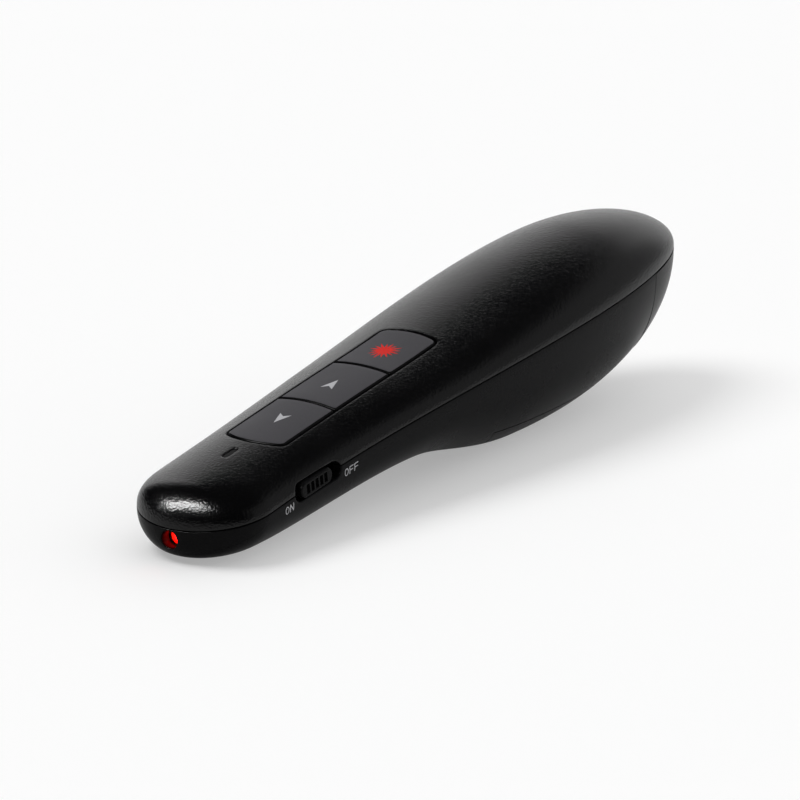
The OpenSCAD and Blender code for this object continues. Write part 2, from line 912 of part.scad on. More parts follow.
module receiver_housing() {
    color(shell_black)
        difference() {
            union() {
                intersection() {
                    translate([0, 0, -relief])
                        half_solid(false, 0);
                    block([receiver_at, length + past], [-belly_width, belly_width], [0, seam_tail]);
                }
                intersection() {
                    block([receiver_at - spigot_long, receiver_at + past], [-spigot_half, spigot_half],
                        [spigot_low, spigot_high]);
                    half_solid(false, wall + relief);
                }
            }
            block([receiver_at - spigot_long - past, receiver_at + past],
                [-plug_width / 2 - fit, plug_width / 2 + fit],
                [plug_low - fit, plug_low + plug_height + fit]);
        }
}
module receiver_plug() {
    color(steel)
        difference() {
            block([receiver_at - plug_length, receiver_at + past - fit], [-plug_width / 2, plug_width / 2],
                [plug_low, plug_low + plug_height]);
            block([receiver_at - plug_length - past, receiver_at + past],
                [-plug_width / 2 + plug_skin, plug_width / 2 - plug_skin],
                [plug_low + plug_skin, plug_low + plug_height - plug_skin]);
            for (side = [-1, 1])
                translate([at(receiver_at - plug_length + window_back), side * window_side, plug_low])
                    cube([window_size, window_size, 4 * plug_skin], center = true);
        }
}
module receiver_tongue() {
    color(part_black)
        block([receiver_at - plug_length + plate, receiver_at + past - fit],
            [-plug_width / 2 + plug_skin + fit, plug_width / 2 - plug_skin - fit],
            [tongue_top - tongue_thick, tongue_top]);
}

top_shell();
bottom_shell();
battery_door();
page_down_key();
page_up_key();
laser_key();
page_down_plunger();
page_up_plunger();
laser_plunger();
page_down_switch();
page_up_switch();
laser_switch();
main_board();
controller_chip();
crystal();
boost_inductor();
filter_capacitor();
status_led();
light_pipe();
slide_switch_body();
slide_switch_lever();
power_slide();
laser_barrel();
laser_lens();
lens_retainer();
laser_diode();
laser_driver_board();
left_cell();
right_cell();
left_contact();
right_contact();
rear_contact();
front_spring();
rear_spring();
front_screw();
rear_screw();
receiver_housing();
receiver_plug();
receiver_tongue();
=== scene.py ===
import bmesh
import bpy
import numpy as np
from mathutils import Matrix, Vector


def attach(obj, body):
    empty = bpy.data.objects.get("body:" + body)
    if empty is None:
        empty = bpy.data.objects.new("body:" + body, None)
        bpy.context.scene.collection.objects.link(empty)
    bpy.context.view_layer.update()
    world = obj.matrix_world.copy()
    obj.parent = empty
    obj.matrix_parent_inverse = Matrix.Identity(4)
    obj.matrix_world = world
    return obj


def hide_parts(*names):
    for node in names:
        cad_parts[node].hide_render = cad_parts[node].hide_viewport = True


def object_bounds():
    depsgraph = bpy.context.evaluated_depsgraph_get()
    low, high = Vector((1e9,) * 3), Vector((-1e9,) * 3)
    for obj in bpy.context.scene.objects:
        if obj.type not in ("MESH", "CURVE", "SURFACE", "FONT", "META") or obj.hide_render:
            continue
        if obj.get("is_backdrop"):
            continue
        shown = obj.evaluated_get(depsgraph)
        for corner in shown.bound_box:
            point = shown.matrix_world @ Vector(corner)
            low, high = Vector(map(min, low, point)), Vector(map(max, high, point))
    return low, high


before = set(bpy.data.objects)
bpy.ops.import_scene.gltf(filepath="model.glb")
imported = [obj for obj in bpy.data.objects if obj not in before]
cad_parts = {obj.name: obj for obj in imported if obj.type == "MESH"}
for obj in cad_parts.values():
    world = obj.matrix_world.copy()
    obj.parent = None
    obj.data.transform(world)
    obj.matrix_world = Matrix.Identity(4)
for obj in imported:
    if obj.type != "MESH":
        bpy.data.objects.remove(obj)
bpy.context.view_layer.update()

# Top shell
# The upper half of the housing: one injection moulding in satin black plastic with a fine grain.
# It meets the bottom shell along the seam and is held by two screws from inside the battery bay.

# Sizes are in millimetres, apart from the two mesh tolerances in metres. A station is a distance
# behind the tip of the nose, and an angle runs round the body from the left seam to the right one.
MM = 0.001
MERGE, SLIVER = 4e-7, 1e-7
LENGTH, WALL, EDGE, END_RUN = 140.0, 1.8, 0.07, 20.0
SEAM_NOSE, SEAM_RISE, SEAM_BOW = 5.95, 18.4, 8.4
NECK_HALF, BELLY_SWELL, SWELL_START, SWELL_PEAK = 12.4, 3.7, 18.0, 91.5
NECK_CROWN, CROWN_RISE, CROWN_START, CROWN_PEAK = 5.5, 3.6, 55.0, 112.5
STATION_STEP, STATION_EDGE, ANGLE_STEP, ANGLE_EDGE = 0.02, 0.03, 0.2, 0.6


def smooth(t):
    """Ease from 0 to 1: three times the square less twice the cube."""
    c = np.clip(t, 0, 1)
    return c * c * (3 - 2 * c)


def round_end(run, span, power):
    """Rounded end: a quarter of a superellipse that rises from 0 to 1 over the span."""
    c = np.clip(run / span, 0, 1)
    return (1 - (1 - c) ** power) ** (1 / power)


def ends(s, inset, nose, nose_power, peak, tail_power):
    """Product of the nose's rounding and of the long rounding from the peak to the tail."""
    tail = round_end(LENGTH - inset - s, LENGTH - inset - peak, tail_power)
    return round_end(s - inset, nose, nose_power) * tail


def seam(s):
    """Seam height: a straight rise from nose to tail with a shallow parabola on top."""
    return SEAM_NOSE + SEAM_RISE * s / LENGTH + SEAM_BOW * (s / LENGTH) * (1 - s / LENGTH)


def half_width(s, inset=0.0):
    """Half width in plan: the neck, eased out to the belly, times the rounded ends."""
    swell = smooth((s - SWELL_START) / (SWELL_PEAK - SWELL_START))
    rounding = ends(s, inset, nose=11, nose_power=2, peak=SWELL_PEAK, tail_power=2.25)
    return (NECK_HALF - inset + BELLY_SWELL * swell) * rounding


def crown(s, inset=0.0):
    """Height of the top above the seam: low along the neck, eased up over the belly."""
    swell = smooth((s - CROWN_START) / (CROWN_PEAK - CROWN_START))
    rounding = ends(s, inset, nose=5, nose_power=2.2, peak=CROWN_PEAK, tail_power=1.8)
    return (NECK_CROWN - inset + CROWN_RISE * swell) * rounding


def top_point(s, a, inset=0.0):
    """Upper skin at a station and an angle: half an ellipse from the left seam to the right."""
    turn = np.radians(a)
    across = half_width(s, inset) * np.cos(turn)
    up = seam(s) + crown(s, inset) * np.sin(turn)
    return np.stack([LENGTH / 2 - s + 0 * a, across, up], -1)


def inner_station(s):
    """Station on the inner skin: the outer one, drawn in by the wall at both ends."""
    nose, tail = 1 - np.clip(s / END_RUN, 0, 1), 1 - np.clip((LENGTH - s) / END_RUN, 0, 1)
    return s + WALL * nose ** 2 - WALL * tail ** 2


def outward(point, s, a, sign):
    """Unit normal: the cross product of a small step along the body and one around it."""
    s = np.clip(s, STATION_EDGE, LENGTH - STATION_EDGE)
    a = np.clip(a, ANGLE_EDGE, 180 - ANGLE_EDGE)
    along = point(s + STATION_STEP, a) - point(s - STATION_STEP, a)
    around = point(s, a + ANGLE_STEP) - point(s, a - ANGLE_STEP)
    n = sign * np.cross(along, around)
    return n / np.linalg.norm(n, axis=-1, keepdims=True)


def patchwork(grids):
    """Joins grids of places into one list of places and one of quads, leaving out masked cells."""
    places, quads, first = [], [], 0
    for grid, keep in grids:
        rows, columns = grid.shape[:2]
        index = first + np.arange(rows * columns).reshape(rows, columns)
        cells = np.stack([index[:-1, :-1], index[1:, :-1], index[1:, 1:], index[:-1, 1:]], -1)
        quads.append(cells.reshape(-1, 4) if keep is None else cells[keep])
        places.append(grid.reshape(rows * columns, -1))
        first += rows * columns
    return np.concatenate(places), np.concatenate(quads)


def mesh_piece(name, points, faces, sharp=38):
    """A mesh object from points in millimetres: doubles merged, normals outwards, smooth."""
    faces = [list(dict.fromkeys(f)) for f in np.asarray(faces).tolist()]
    mesh = bpy.data.meshes.new(name)
    mesh.from_pydata((np.asarray(points) * MM).tolist(), [], [f for f in faces if len(f) > 2])
    work = bmesh.new()
    work.from_mesh(mesh)
    bmesh.ops.remove_doubles(work, verts=work.verts, dist=MERGE)
    bmesh.ops.dissolve_degenerate(work, edges=work.edges, dist=SLIVER)
    bmesh.ops.recalc_face_normals(work, faces=work.faces)
    work.to_mesh(mesh)
    work.free()
    mesh.shade_smooth()
    mesh.set_sharp_from_angle(angle=np.radians(sharp))
    piece = bpy.data.objects.new(name, mesh)
    bpy.context.scene.collection.objects.link(piece)
    return piece


def wall_parts(quads, outer, inner):
    """A closed wall as points and faces: the outer skin, the inner skin and a strip on each free edge.

    Places with the same outer and inner point become one first.
    """
    both = np.round(np.hstack([outer, inner]), 5)
    _, pick, where = np.unique(both, axis=0, return_index=True, return_inverse=True)
    quads, outer, inner = where.reshape(-1)[quads], outer[pick], inner[pick]
    sides = np.concatenate([quads[:, [k, (k + 1) % 4]] for k in range(4)])
    sides = sides[sides[:, 0] != sides[:, 1]]
    _, where, count = np.unique(np.sort(sides, 1), axis=0, return_inverse=True, return_counts=True)
    a, b = sides[count[where.reshape(-1)] == 1].T
    n = len(outer)
    strip = np.stack([b, a, a + n, b + n], 1)
    return np.concatenate([outer, inner]), np.concatenate([quads, quads[:, ::-1] + n, strip])


def walled(name, quads, outer, inner):
    """One closed wall as a mesh object."""
    return mesh_piece(name, *wall_parts(quads, outer, inner))


def fillet(radius, steps=4):
    """Round edge as (distance outside the edge, depth below the skin), from the skin to the wall."""
    turn = np.radians(np.linspace(0, 90, steps))
    return list(zip(radius * (1 - np.sin(turn)), radius * (1 - np.cos(turn))))


def resample(line, count):
    """Points evenly spaced by length along a polyline, ends included."""
    line = np.asarray(line, float)
    run = np.concatenate([[0], np.cumsum(np.linalg.norm(np.diff(line, axis=0), axis=1))])
    at = np.linspace(0, run[-1], count)
    return np.stack([np.interp(at, run, line[:, k]) for k in range(line.shape[1])], 1)


def arc(centre, radius, start, end, count=24):
    """Points of a circular arc between two angles in degrees."""
    turn = np.radians(np.linspace(start, end, count))
    return np.stack([centre[0] + radius * np.cos(turn), centre[1] + radius * np.sin(turn)], 1)


def frame_patch(loop, rings, steps):
    """Skin between a loop of grid places and a hole: even steps to the first ring, then the rings."""
    fade = np.linspace(0, 1, steps + 1)[:, None, None]
    return np.concatenate([loop * (1 - fade) + rings[0] * fade, np.stack(rings[1:])])


# The key deck is a sloped plane that touches the crown at the middle key's centre.
TILT = np.radians(8.7)
DECK_STATION = 45.0
DECK_TOP = float(seam(DECK_STATION) + NECK_CROWN)
KEY_HALF = 5.8
KEY_CLEAR = 0.3
KEY_PITCH = 15.6
PANEL_FRONT, PANEL_REAR = 24.1, -22.3
FRONT_BEND, REAR_BEND = 9.8, 24.4
CORNER, PANEL_ROUND = 1.4, 0.2
KEY_WINDOW, KEY_WINDOW_HALF = (19.4, 70.2), 40


def from_deck(x, y, z):
    """Deck coordinates to the remote's own frame: a turn about the width axis and a move to the deck."""
    return np.stack([
        LENGTH / 2 - DECK_STATION + x * np.cos(TILT) + z * np.sin(TILT),
        y + 0 * x,
        DECK_TOP - x * np.sin(TILT) + z * np.cos(TILT)], -1)


def on_top(x, y):
    """Station and angle where a line square to the deck meets the skin, by repeated correction."""
    lift = 0 * x
    for _ in range(12):
        s = DECK_STATION - x * np.cos(TILT) - lift * np.sin(TILT)
        arch_up = np.sqrt(np.clip(1 - (y / half_width(s)) ** 2, 0, 1))
        lift = (seam(s) + crown(s) * arch_up - DECK_TOP + x * np.sin(TILT)) / np.cos(TILT)
    return s, np.degrees(np.arccos(np.clip(y / half_width(s), -1, 1)))


def panel_end(edge, bend, grow):
    """End of the key panel: centre and radius of its bow, and of the corner that rounds it off."""
    back = np.sqrt((bend - CORNER) ** 2 - (KEY_HALF - CORNER) ** 2)
    tip = np.degrees(np.arctan2(KEY_HALF - CORNER, back))
    middle = edge - bend
    return middle, bend + grow, middle + back, KEY_HALF - CORNER, CORNER + grow, tip


def panel_end_runs(edge, bend, grow):
    """End of the key panel as three runs: into its left corner, over the bow, out of its right corner."""
    middle, bow, x, y, corner, tip = panel_end(edge, bend, grow)
    half = (tip + 90) / 2
    over = [arc((x, y), corner, half, tip), arc((middle, 0), bow, tip, -tip),
            arc((x, -y), corner, -tip, -half)]
    return arc((x, y), corner, 90, half), np.concatenate(over), arc((x, -y), corner, -half, -90)


def closed_line(runs, counts):
    """Closed outline from four runs end to end, each spaced evenly with its own count of steps."""
    runs = [resample(run, count + 1) for run, count in zip(runs, counts)]
    return np.concatenate([run[:-1] for run in runs] + [runs[0][:1]])


def panel_sides(grow, counts):
    """Panel outline as four runs, front, right, rear and left: the rear end is a half turn of a front one."""
    into, front, out = panel_end_runs(PANEL_FRONT, FRONT_BEND, grow)
    back_into, rear, back_out = (-run for run in panel_end_runs(-PANEL_REAR, REAR_BEND, grow))
    right, left = np.concatenate([out, back_into]), np.concatenate([back_out, into])
    return closed_line([front, right, rear, left], counts)


def block_loop(grid, i1, i2, j1, j2):
    """Places round a block of grid cells, from its first corner and back to it."""
    return np.concatenate([grid[i1, j1:j2], grid[i1:i2, j2], grid[i2, j2:j1:-1], grid[i2:i1:-1, j1],
                           grid[i1:i1 + 1, j1]])


# Grid of the upper skin: rows of a rounded edge at each seam, and even angles between them.
TOP_STEPS, TOP_ROWS = 260, 88
EDGE_LIMIT, TINY = 0.3, 1e-6
top_s = LENGTH * (1 - np.cos(np.pi * np.arange(TOP_STEPS + 1) / TOP_STEPS)) / 2
edge_turn = np.radians([90, 60, 30, 0])
edge_rise = EDGE * (1 - np.sin(edge_turn))
edge_sink = EDGE * (1 - np.cos(edge_turn))


def edge_ratio(height):
    """Rise of the edge rows as a share of a height, kept low where the section closes."""
    return np.minimum(edge_rise[None, :] / np.maximum(height, TINY)[:, None], EDGE_LIMIT)


def skin_grid(stations, height, rows):
    """Places of a half skin: edge rows, even rows, edge rows, each with its sink."""
    low = np.degrees(np.arcsin(edge_ratio(height(stations))))
    share = np.linspace(0, 1, rows + 1)[None, 1:-1]
    middle = low[:, -1:] + (180 - 2 * low[:, -1:]) * share
    angles = np.concatenate([low, middle, 180 - low[:, ::-1]], 1)
    sinks = np.concatenate([edge_sink, np.zeros(rows - 1), edge_sink[::-1]])[None, :]
    sinks = sinks * np.minimum(1, half_width(stations))[:, None]
    return np.stack([stations[:, None] + 0 * angles, angles, sinks], -1)


top_grid = skin_grid(top_s, crown, TOP_ROWS)
top_keep = np.ones((top_grid.shape[0] - 1, top_grid.shape[1] - 1), bool)
top_middle = top_grid.shape[1] // 2


def near(stations, value):
    """Index of the grid station nearest to a value."""
    return int(np.argmin(np.abs(stations - value)))


def top_rings(rounding, outline):
    """Rings of a hole in the top: its outline, grown by each step of a round edge, with that step's sink."""
    rings = []
    for out, sink in fillet(rounding):
        s, a = on_top(*outline(out).T)
        rings.append(np.stack([s, a, sink + 0 * s], 1))
    return rings


# Opening for the keys.
i1, i2 = (near(top_s, station) for station in KEY_WINDOW)
reach = int(round(KEY_WINDOW_HALF / (180 / TOP_ROWS)))
j1, j2 = top_middle - reach, top_middle + reach
top_keep[i1:i2, j1:j2] = False
counts = (j2 - j1, i2 - i1) * 2
rings = top_rings(PANEL_ROUND, lambda out: panel_sides(KEY_CLEAR + out, counts))
panel_patch = frame_patch(block_loop(top_grid, i1, i2, j1, j2), rings, steps=7)

# Slot for the status light.
LIGHT_X, LIGHT_LONG, LIGHT_WIDE, LIGHT_ROUND = 28.9, 3.6, 1.1, 0.15
LIGHT_WINDOW_FRONT, LIGHT_WINDOW_ROWS = 13.6, 7


def slot_line(long, wide, counts):
    """Slot with round ends as four runs, front, right, rear and left, split halfway round each end."""
    half, radius = (long - wide) / 2, wide / 2
    parts = ((90, 45), (45, -45), (-45, -90))
    into, front, out = (arc((half, 0), radius, start, end) for start, end in parts)
    return closed_line([front, np.concatenate([out, -into]), -front, np.concatenate([-out, into])], counts)


i3, i4 = near(top_s, LIGHT_WINDOW_FRONT), i1
j3, j4 = top_middle - LIGHT_WINDOW_ROWS, top_middle + LIGHT_WINDOW_ROWS
top_keep[i3:i4, j3:j4] = False
counts = (j4 - j3, i4 - i3) * 2
rings = top_rings(
    LIGHT_ROUND, lambda out: slot_line(LIGHT_LONG + 2 * out, LIGHT_WIDE + 2 * out, counts) + [LIGHT_X, 0])
light_patch = frame_patch(block_loop(top_grid, i3, i4, j3, j4), rings, steps=4)

# Upper half of the slot for the power slide, which breaks the seam edge on the left.
SLOT_X, SLOT_Z, SLOT_FINE = 22.4, -5.9, 400
SLOT_LONG, SLOT_HIGH, SLOT_ROUND = 12.2, 3.3, 0.25
SLOT_WINDOW, TOP_SLOT_ROWS, LOW_SLOT_ROWS = (15.4, 32.2), 18, 20


def slot_rise(grow, base, height, count, up):
    """Half of the power slot on one side of the seam, as stations, heights and sinks.

    The closed slot line is turned to the deck, cut where it crosses the shell's edge, and spaced so
    that its first and last points continue the rows of the edge.
    """
    rows = len(edge_rise)
    line = slot_line(SLOT_LONG + 2 * grow, SLOT_HIGH + 2 * grow, (SLOT_FINE,) * 4)[:-1]
    spot = from_deck(SLOT_X + line[:, 0], 0 * line[:, 0], SLOT_Z + line[:, 1])
    s = LENGTH / 2 - spot[:, 0]
    rise = up * (spot[:, 2] - base(s))
    first = int(np.argmax((rise > 0) & (np.roll(rise, 1) <= 0)))
    s, rise = np.roll(s, -first), np.roll(rise, -first)
    s, rise = s[:np.argmax(rise < 0)], rise[:np.argmax(rise < 0)]
    if s[0] > s[-1]:
        s, rise = s[::-1], rise[::-1]
    length = np.concatenate([[0], np.cumsum(np.hypot(np.diff(s), np.diff(rise)))])
    top = int(np.argmax(rise))
    start = np.interp(edge_rise, rise[:top], length[:top])
    stop = np.interp(edge_rise, rise[:top:-1], length[:top:-1])
    even = np.linspace(start[-1], stop[-1], count - 2 * rows + 2)[1:-1]
    at = np.concatenate([start, even, stop[::-1]])
    s, rise = np.interp(at, length, s), np.interp(at, length, rise)
    rise[:rows], rise[-rows:] = edge_rise, edge_rise[::-1]
    sinks = np.concatenate([edge_sink, np.zeros(count - 2 * rows), edge_sink[::-1]])
    return s, height(s, rise), sinks


def top_angle(s, rise):
    """Angle of the upper skin at a rise above the seam."""
    return np.degrees(np.arcsin(np.clip(rise / crown(s), 0, 1)))


def open_loop(grid, i1, i2, j2):
    """Places round a block of grid cells that reaches the left seam, from seam to seam."""
    return np.concatenate([grid[i1, :j2], grid[i1:i2, j2], grid[i2, j2::-1]])


i5, i6 = (near(top_s, station) for station in SLOT_WINDOW)
top_keep[i5:i6, :TOP_SLOT_ROWS] = False
notch_loop = open_loop(top_grid, i5, i6, TOP_SLOT_ROWS)
rings = []
for out, sink in fillet(SLOT_ROUND):
    s, a, own = slot_rise(out, seam, top_angle, len(notch_loop), 1)
    rings.append(np.stack([s, a, np.maximum(own, sink)], 1))
notch_patch = frame_patch(notch_loop, rings, steps=6)

places, quads = patchwork([(top_grid, top_keep), (panel_patch, None), (light_patch, None),
                           (notch_patch, None)])
s, a, sink = places.T
outer = top_point(s, a) - sink[:, None] * outward(top_point, s, a, 1)
inner = top_point(inner_station(s), a, WALL)
top_shell = walled("top_shell_skin", quads, outer, inner)


def own_nodes(tree, *kinds):
    """New nodes of the given kinds in a node tree."""
    return [tree.nodes.new(kind) for kind in kinds]


def fill(node, values):
    """Sets inputs of a node by name."""
    for socket, value in values.items():
        node.inputs[socket].default_value = value


def wire(tree, *links):
    """Links nodes of a tree, each link given as a node, its output, the next node and its input."""
    for source, output, target, socket in links:
        tree.links.new(source.outputs[output], target.inputs[socket])


def new_finish(name):
    """A new material, its node tree and its Principled shader."""
    material = bpy.data.materials.new(name)
    material.use_nodes = True
    return material, material.node_tree, material.node_tree.nodes["Principled BSDF"]


def grain_group():
    """Moulded grain: fine noise that mixes two colours, shifts the roughness and lifts the surface."""
    group = bpy.data.node_groups.new("moulded_grain", "ShaderNodeTree")
    sockets = (("INPUT", "Colour", "Color"), ("INPUT", "Worn colour", "Color"), ("INPUT", "Grain", "Float"),
               ("INPUT", "Gloss low", "Float"), ("INPUT", "Gloss high", "Float"),
               ("OUTPUT", "Colour", "Color"), ("OUTPUT", "Roughness", "Float"), ("OUTPUT", "Height", "Float"))
    for side, name, kind in sockets:
        group.interface.new_socket(name, in_out=side, socket_type="NodeSocket" + kind)
    inp, out, place, fine, broad, mix, spread = own_nodes(
        group, "NodeGroupInput", "NodeGroupOutput", "ShaderNodeTexCoord", "ShaderNodeTexNoise",
        "ShaderNodeTexNoise", "ShaderNodeMix", "ShaderNodeMapRange")
    fill(fine, {"Detail": 1.5})
    fill(broad, {"Scale": 90, "Detail": 3})
    fill(spread, {"From Min": 0.3, "From Max": 0.7})
    mix.data_type = "RGBA"
    wire(group, (place, "Object", fine, "Vector"), (place, "Object", broad, "Vector"),
         (inp, "Grain", fine, "Scale"), (fine, "Fac", mix, "Factor"),
         (inp, "Colour", mix, "A"), (inp, "Worn colour", mix, "B"), (broad, "Fac", spread, "Value"),
         (inp, "Gloss low", spread, "To Min"), (inp, "Gloss high", spread, "To Max"),
         (mix, "Result", out, "Colour"), (spread, "Result", out, "Roughness"), (fine, "Fac", out, "Height"))
    return group


GRAIN = grain_group()


def moulded(name, colour, second, grain, gloss, lift, bumps=0.35, shine=0.5, metal=0.0):
    """A grained finish: the grain's colour, roughness and height on a Principled shader."""
    material, tree, shader = new_finish(name)
    use, bump = own_nodes(tree, "ShaderNodeGroup", "ShaderNodeBump")
    use.node_tree = GRAIN
    fill(shader, {"Specular IOR Level": shine, "Metallic": metal})
    fill(use, {"Colour": (*colour, 1), "Worn colour": (*second, 1), "Grain": grain,
               "Gloss low": gloss[0], "Gloss high": gloss[1]})
    fill(bump, {"Strength": bumps, "Distance": lift})
    wire(tree, (use, "Colour", shader, "Base Color"), (use, "Roughness", shader, "Roughness"),
         (use, "Height", bump, "Height"), (bump, "Normal", shader, "Normal"))
    return material


satin_black = moulded("satin_black", (0.002, 0.002, 0.0022), (0.0035, 0.0035, 0.0039), 2900, (0.16, 0.22),
                      lift=1e-4, bumps=0.7, shine=0.25)


def put(piece, body, slot, material, *nodes):
    """Finishes a piece: its material, the body it rides on, and the nodes it stands for, which it hides. The
    slot is not used.
    """
    piece.data.materials.append(material)
    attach(piece, body)
    if nodes:
        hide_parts(*nodes)


put(top_shell, "housing", "shell", satin_black, "top_shell")

# Bottom shell
# The lower half of the housing, moulded in the same plastic with a duller skin: nose with the laser
# aperture, arched neck and belly. The battery door and the receiver close its two openings.

SEAM_GAP = 0.2
DOOR_FRONT, DOOR_LEVEL, DOOR_GAP = 75.5, 4.75, 0.1
DOOR_LEAN, LEAN_FADE, DOOR_SPLIT = np.tan(np.radians(40)), 6, 0.13
DOOR_ROW = 0.55
FRONT_GRID_END, TAIL_CUT = 70, 121.45
ARCH_LIFT, ARCH_START, ARCH_TOP, BELLY_LOW = 3.8, 12, 56, 85
FLOOR_CUT = 0.45
POWER = 2.2


def arch(s):
    """Lift of the neck's underside: eased up behind the nose and down again to the belly."""
    up, down = (s - ARCH_START) / (ARCH_TOP - ARCH_START), (s - ARCH_TOP) / (BELLY_LOW - ARCH_TOP)
    return ARCH_LIFT * (smooth(up) - smooth(down))


def depth(s, inset=0.0):
    """Depth below the seam: down to the floor less the arch, times the rounded ends."""
    rounding = ends(s, inset, nose=15.5, nose_power=4, peak=BELLY_LOW, tail_power=2.1)
    return (seam(s) - SEAM_GAP - arch(s) + FLOOR_CUT - inset) * rounding


def bottom_point(s, a, inset=0.0):
    """Lower skin at a station and an angle: half a superellipse, cut flat where it meets the floor."""
    c, d = np.cos(np.radians(a)), np.sin(np.radians(a))
    across = half_width(s, inset) * np.sign(c) * np.abs(c) ** (2 / POWER)
    down = depth(s, inset) * np.abs(d) ** (2 / POWER)
    return np.stack([LENGTH / 2 - s + 0 * a, across, np.maximum(seam(s) - SEAM_GAP - down, 0)], -1)


def door_angle(s, level, inset=0.0):
    """Angle at which the lower skin reaches the door's level, and 90 where it stays above it."""
    s = np.maximum(s, DOOR_FRONT)
    share = (seam(s) - SEAM_GAP - level) / np.maximum(depth(s, inset), TINY)
    return np.degrees(np.arcsin(np.clip(share, 0, 1) ** (POWER / 2)))


def row_angle(v, corner):
    """Angle of a row: evenly up to the door's line, then evenly to the middle, and mirrored."""
    w = np.minimum(v, 2 - v)
    belly = corner + (90 - corner) * (w - DOOR_ROW) / (1 - DOOR_ROW)
    a = np.where(w < DOOR_ROW, corner * w / DOOR_ROW, belly)
    return np.where(v > 1, 180 - a, a)


def leaning_edge(v, edge, level):
    """Stations of the door's leaning front edge at each row, by repeated correction."""
    s = np.full(v.shape, edge)
    for _ in range(8):
        height = bottom_point(s, row_angle(v, door_angle(s, level)))[:, 2]
        s = edge + np.maximum(DOOR_LEVEL - height, 0) * DOOR_LEAN
    return s


SHELL_LEVEL = DOOR_LEVEL + DOOR_GAP
side_rows = np.linspace(0, 1, 27)[1:]
belly_rows = np.linspace(DOOR_ROW, 1, 17)[1:]


def lower_rows(stations):
    """Rows of the lower skin at each station: edge rows, side rows, belly rows, then mirrored."""
    corner = door_angle(stations, SHELL_LEVEL)[:, None]
    rim = np.degrees(np.arcsin(edge_ratio(depth(stations)) ** (POWER / 2))) / corner * DOOR_ROW
    side = rim[:, -1:] + (DOOR_ROW - rim[:, -1:]) * side_rows
    half = np.concatenate([rim, side, np.broadcast_to(belly_rows, (len(stations), len(belly_rows)))], 1)
    sinks = np.concatenate([edge_sink, np.zeros(half.shape[1] - len(edge_sink))])
    sinks = sinks[None, :] * np.minimum(1, half_width(stations))[:, None]
    return np.concatenate([half, 2 - half[:, -2::-1]], 1), np.concatenate([sinks, sinks[:, -2::-1]], 1)


# Front part, from the nose to the leaning front edge of the door's opening.
low_s = top_s[:near(top_s, FRONT_GRID_END) + 1]
v, sinks = lower_rows(low_s)
front_edge = DOOR_FRONT - DOOR_SPLIT
edge_v, edge_sinks = lower_rows(np.array([front_edge]))
stop = leaning_edge(edge_v[0], front_edge, SHELL_LEVEL)
fade = np.linspace(0, 1, 10)[1:, None]
grid_s = np.concatenate([low_s[:, None] + 0 * v, low_s[-1] * (1 - fade) + stop * fade])
grid_v = np.concatenate([v, v[-1] * (1 - fade) + edge_v * fade])
grid_sink = np.concatenate([sinks, edge_sinks + 0 * fade])
lean = np.where(grid_s > low_s[-1], (grid_s - low_s[-1]) / (stop - low_s[-1]), 0)
low_grid = np.stack([grid_s, grid_v, grid_sink, lean], -1)
low_keep = np.ones((low_grid.shape[0] - 1, low_grid.shape[1] - 1), bool)

# Sides of the belly, which meet behind the tip of the door.
door_row = len(edge_rise) + len(side_rows) - 1
back_s = np.linspace(front_edge, TAIL_CUT, 96)
v, sinks = lower_rows(back_s)
lean = np.clip(1 - (back_s[:, None] - front_edge) / LEAN_FADE, 0, 1)
back_grid = np.stack([back_s[:, None] + 0 * v, v, sinks, lean + 0 * v], -1)
left_side, right_side = back_grid[:, :door_row + 1], back_grid[:, -door_row - 1:]


# Lower half of the power slot.
def low_row(s, rise):
    """Row of the lower skin at a drop below the seam edge."""
    a = np.degrees(np.arcsin(np.clip(rise / depth(s), 0, 1) ** (POWER / 2)))
    return a / door_angle(s, SHELL_LEVEL) * DOOR_ROW


i5, i6 = (near(low_s, station) for station in SLOT_WINDOW)
low_keep[i5:i6, :LOW_SLOT_ROWS] = False
notch_loop = open_loop(low_grid, i5, i6, LOW_SLOT_ROWS)
rings = []
for out, sink in fillet(SLOT_ROUND):
    s, row, own = slot_rise(out, lambda s: seam(s) - SEAM_GAP, low_row, len(notch_loop), -1)
    rings.append(np.stack([s, row, np.maximum(own, sink), 0 * s], 1))
low_notch = frame_patch(notch_loop, rings, steps=6)

# Nose round the laser aperture, laid out as rings in the plane across the laser's axis.
LASER_Z, APERTURE, APERTURE_ROUND = 3.95, 1.6, 0.1
CAP_STATION, CAP_RIM, CAP_RINGS = 3.0, 3, 15
NOSE_REACH = 15.0
cap = near(low_s, CAP_STATION)
low_keep[:cap, CAP_RIM:-CAP_RIM] = False
cap_loop = np.concatenate([low_grid[cap, CAP_RIM:-CAP_RIM], low_grid[cap - 1::-1, -1 - CAP_RIM],
                           low_grid[1:cap + 1, CAP_RIM]])


def lower_skin(places):
    """Outer and inner points of places on the lower skin, given as station, row, sink and lean."""
    s, v, sink, lean = places.T
    a = row_angle(v, door_angle(s, SHELL_LEVEL))
    outer = bottom_point(s, a) - sink[:, None] * outward(bottom_point, s, a, -1)
    inside = inner_station(s) - lean * WALL * DOOR_LEAN
    turn = row_angle(v, door_angle(inside, SHELL_LEVEL, WALL))
    inner = bottom_point(inside, turn, WALL)
    flat = (turn == 90) & (a != 90)
    inner[flat, 2] = np.minimum(inner[flat, 2], SHELL_LEVEL)
    return outer, inner


def nose_station(y, z):
    """Station where the lower skin passes through a point of the section, by halving an interval."""
    low, high = np.full(y.shape, 1e-7), np.full(y.shape, NOSE_REACH)
    for _ in range(50):
        s = (low + high) / 2
        drop = np.maximum(seam(s) - SEAM_GAP - z, 0) / depth(s)
        outside = (np.abs(y) / half_width(s)) ** POWER + drop ** POWER > 1
        low, high = np.where(outside, s, low), np.where(outside, high, s)
    return (low + high) / 2


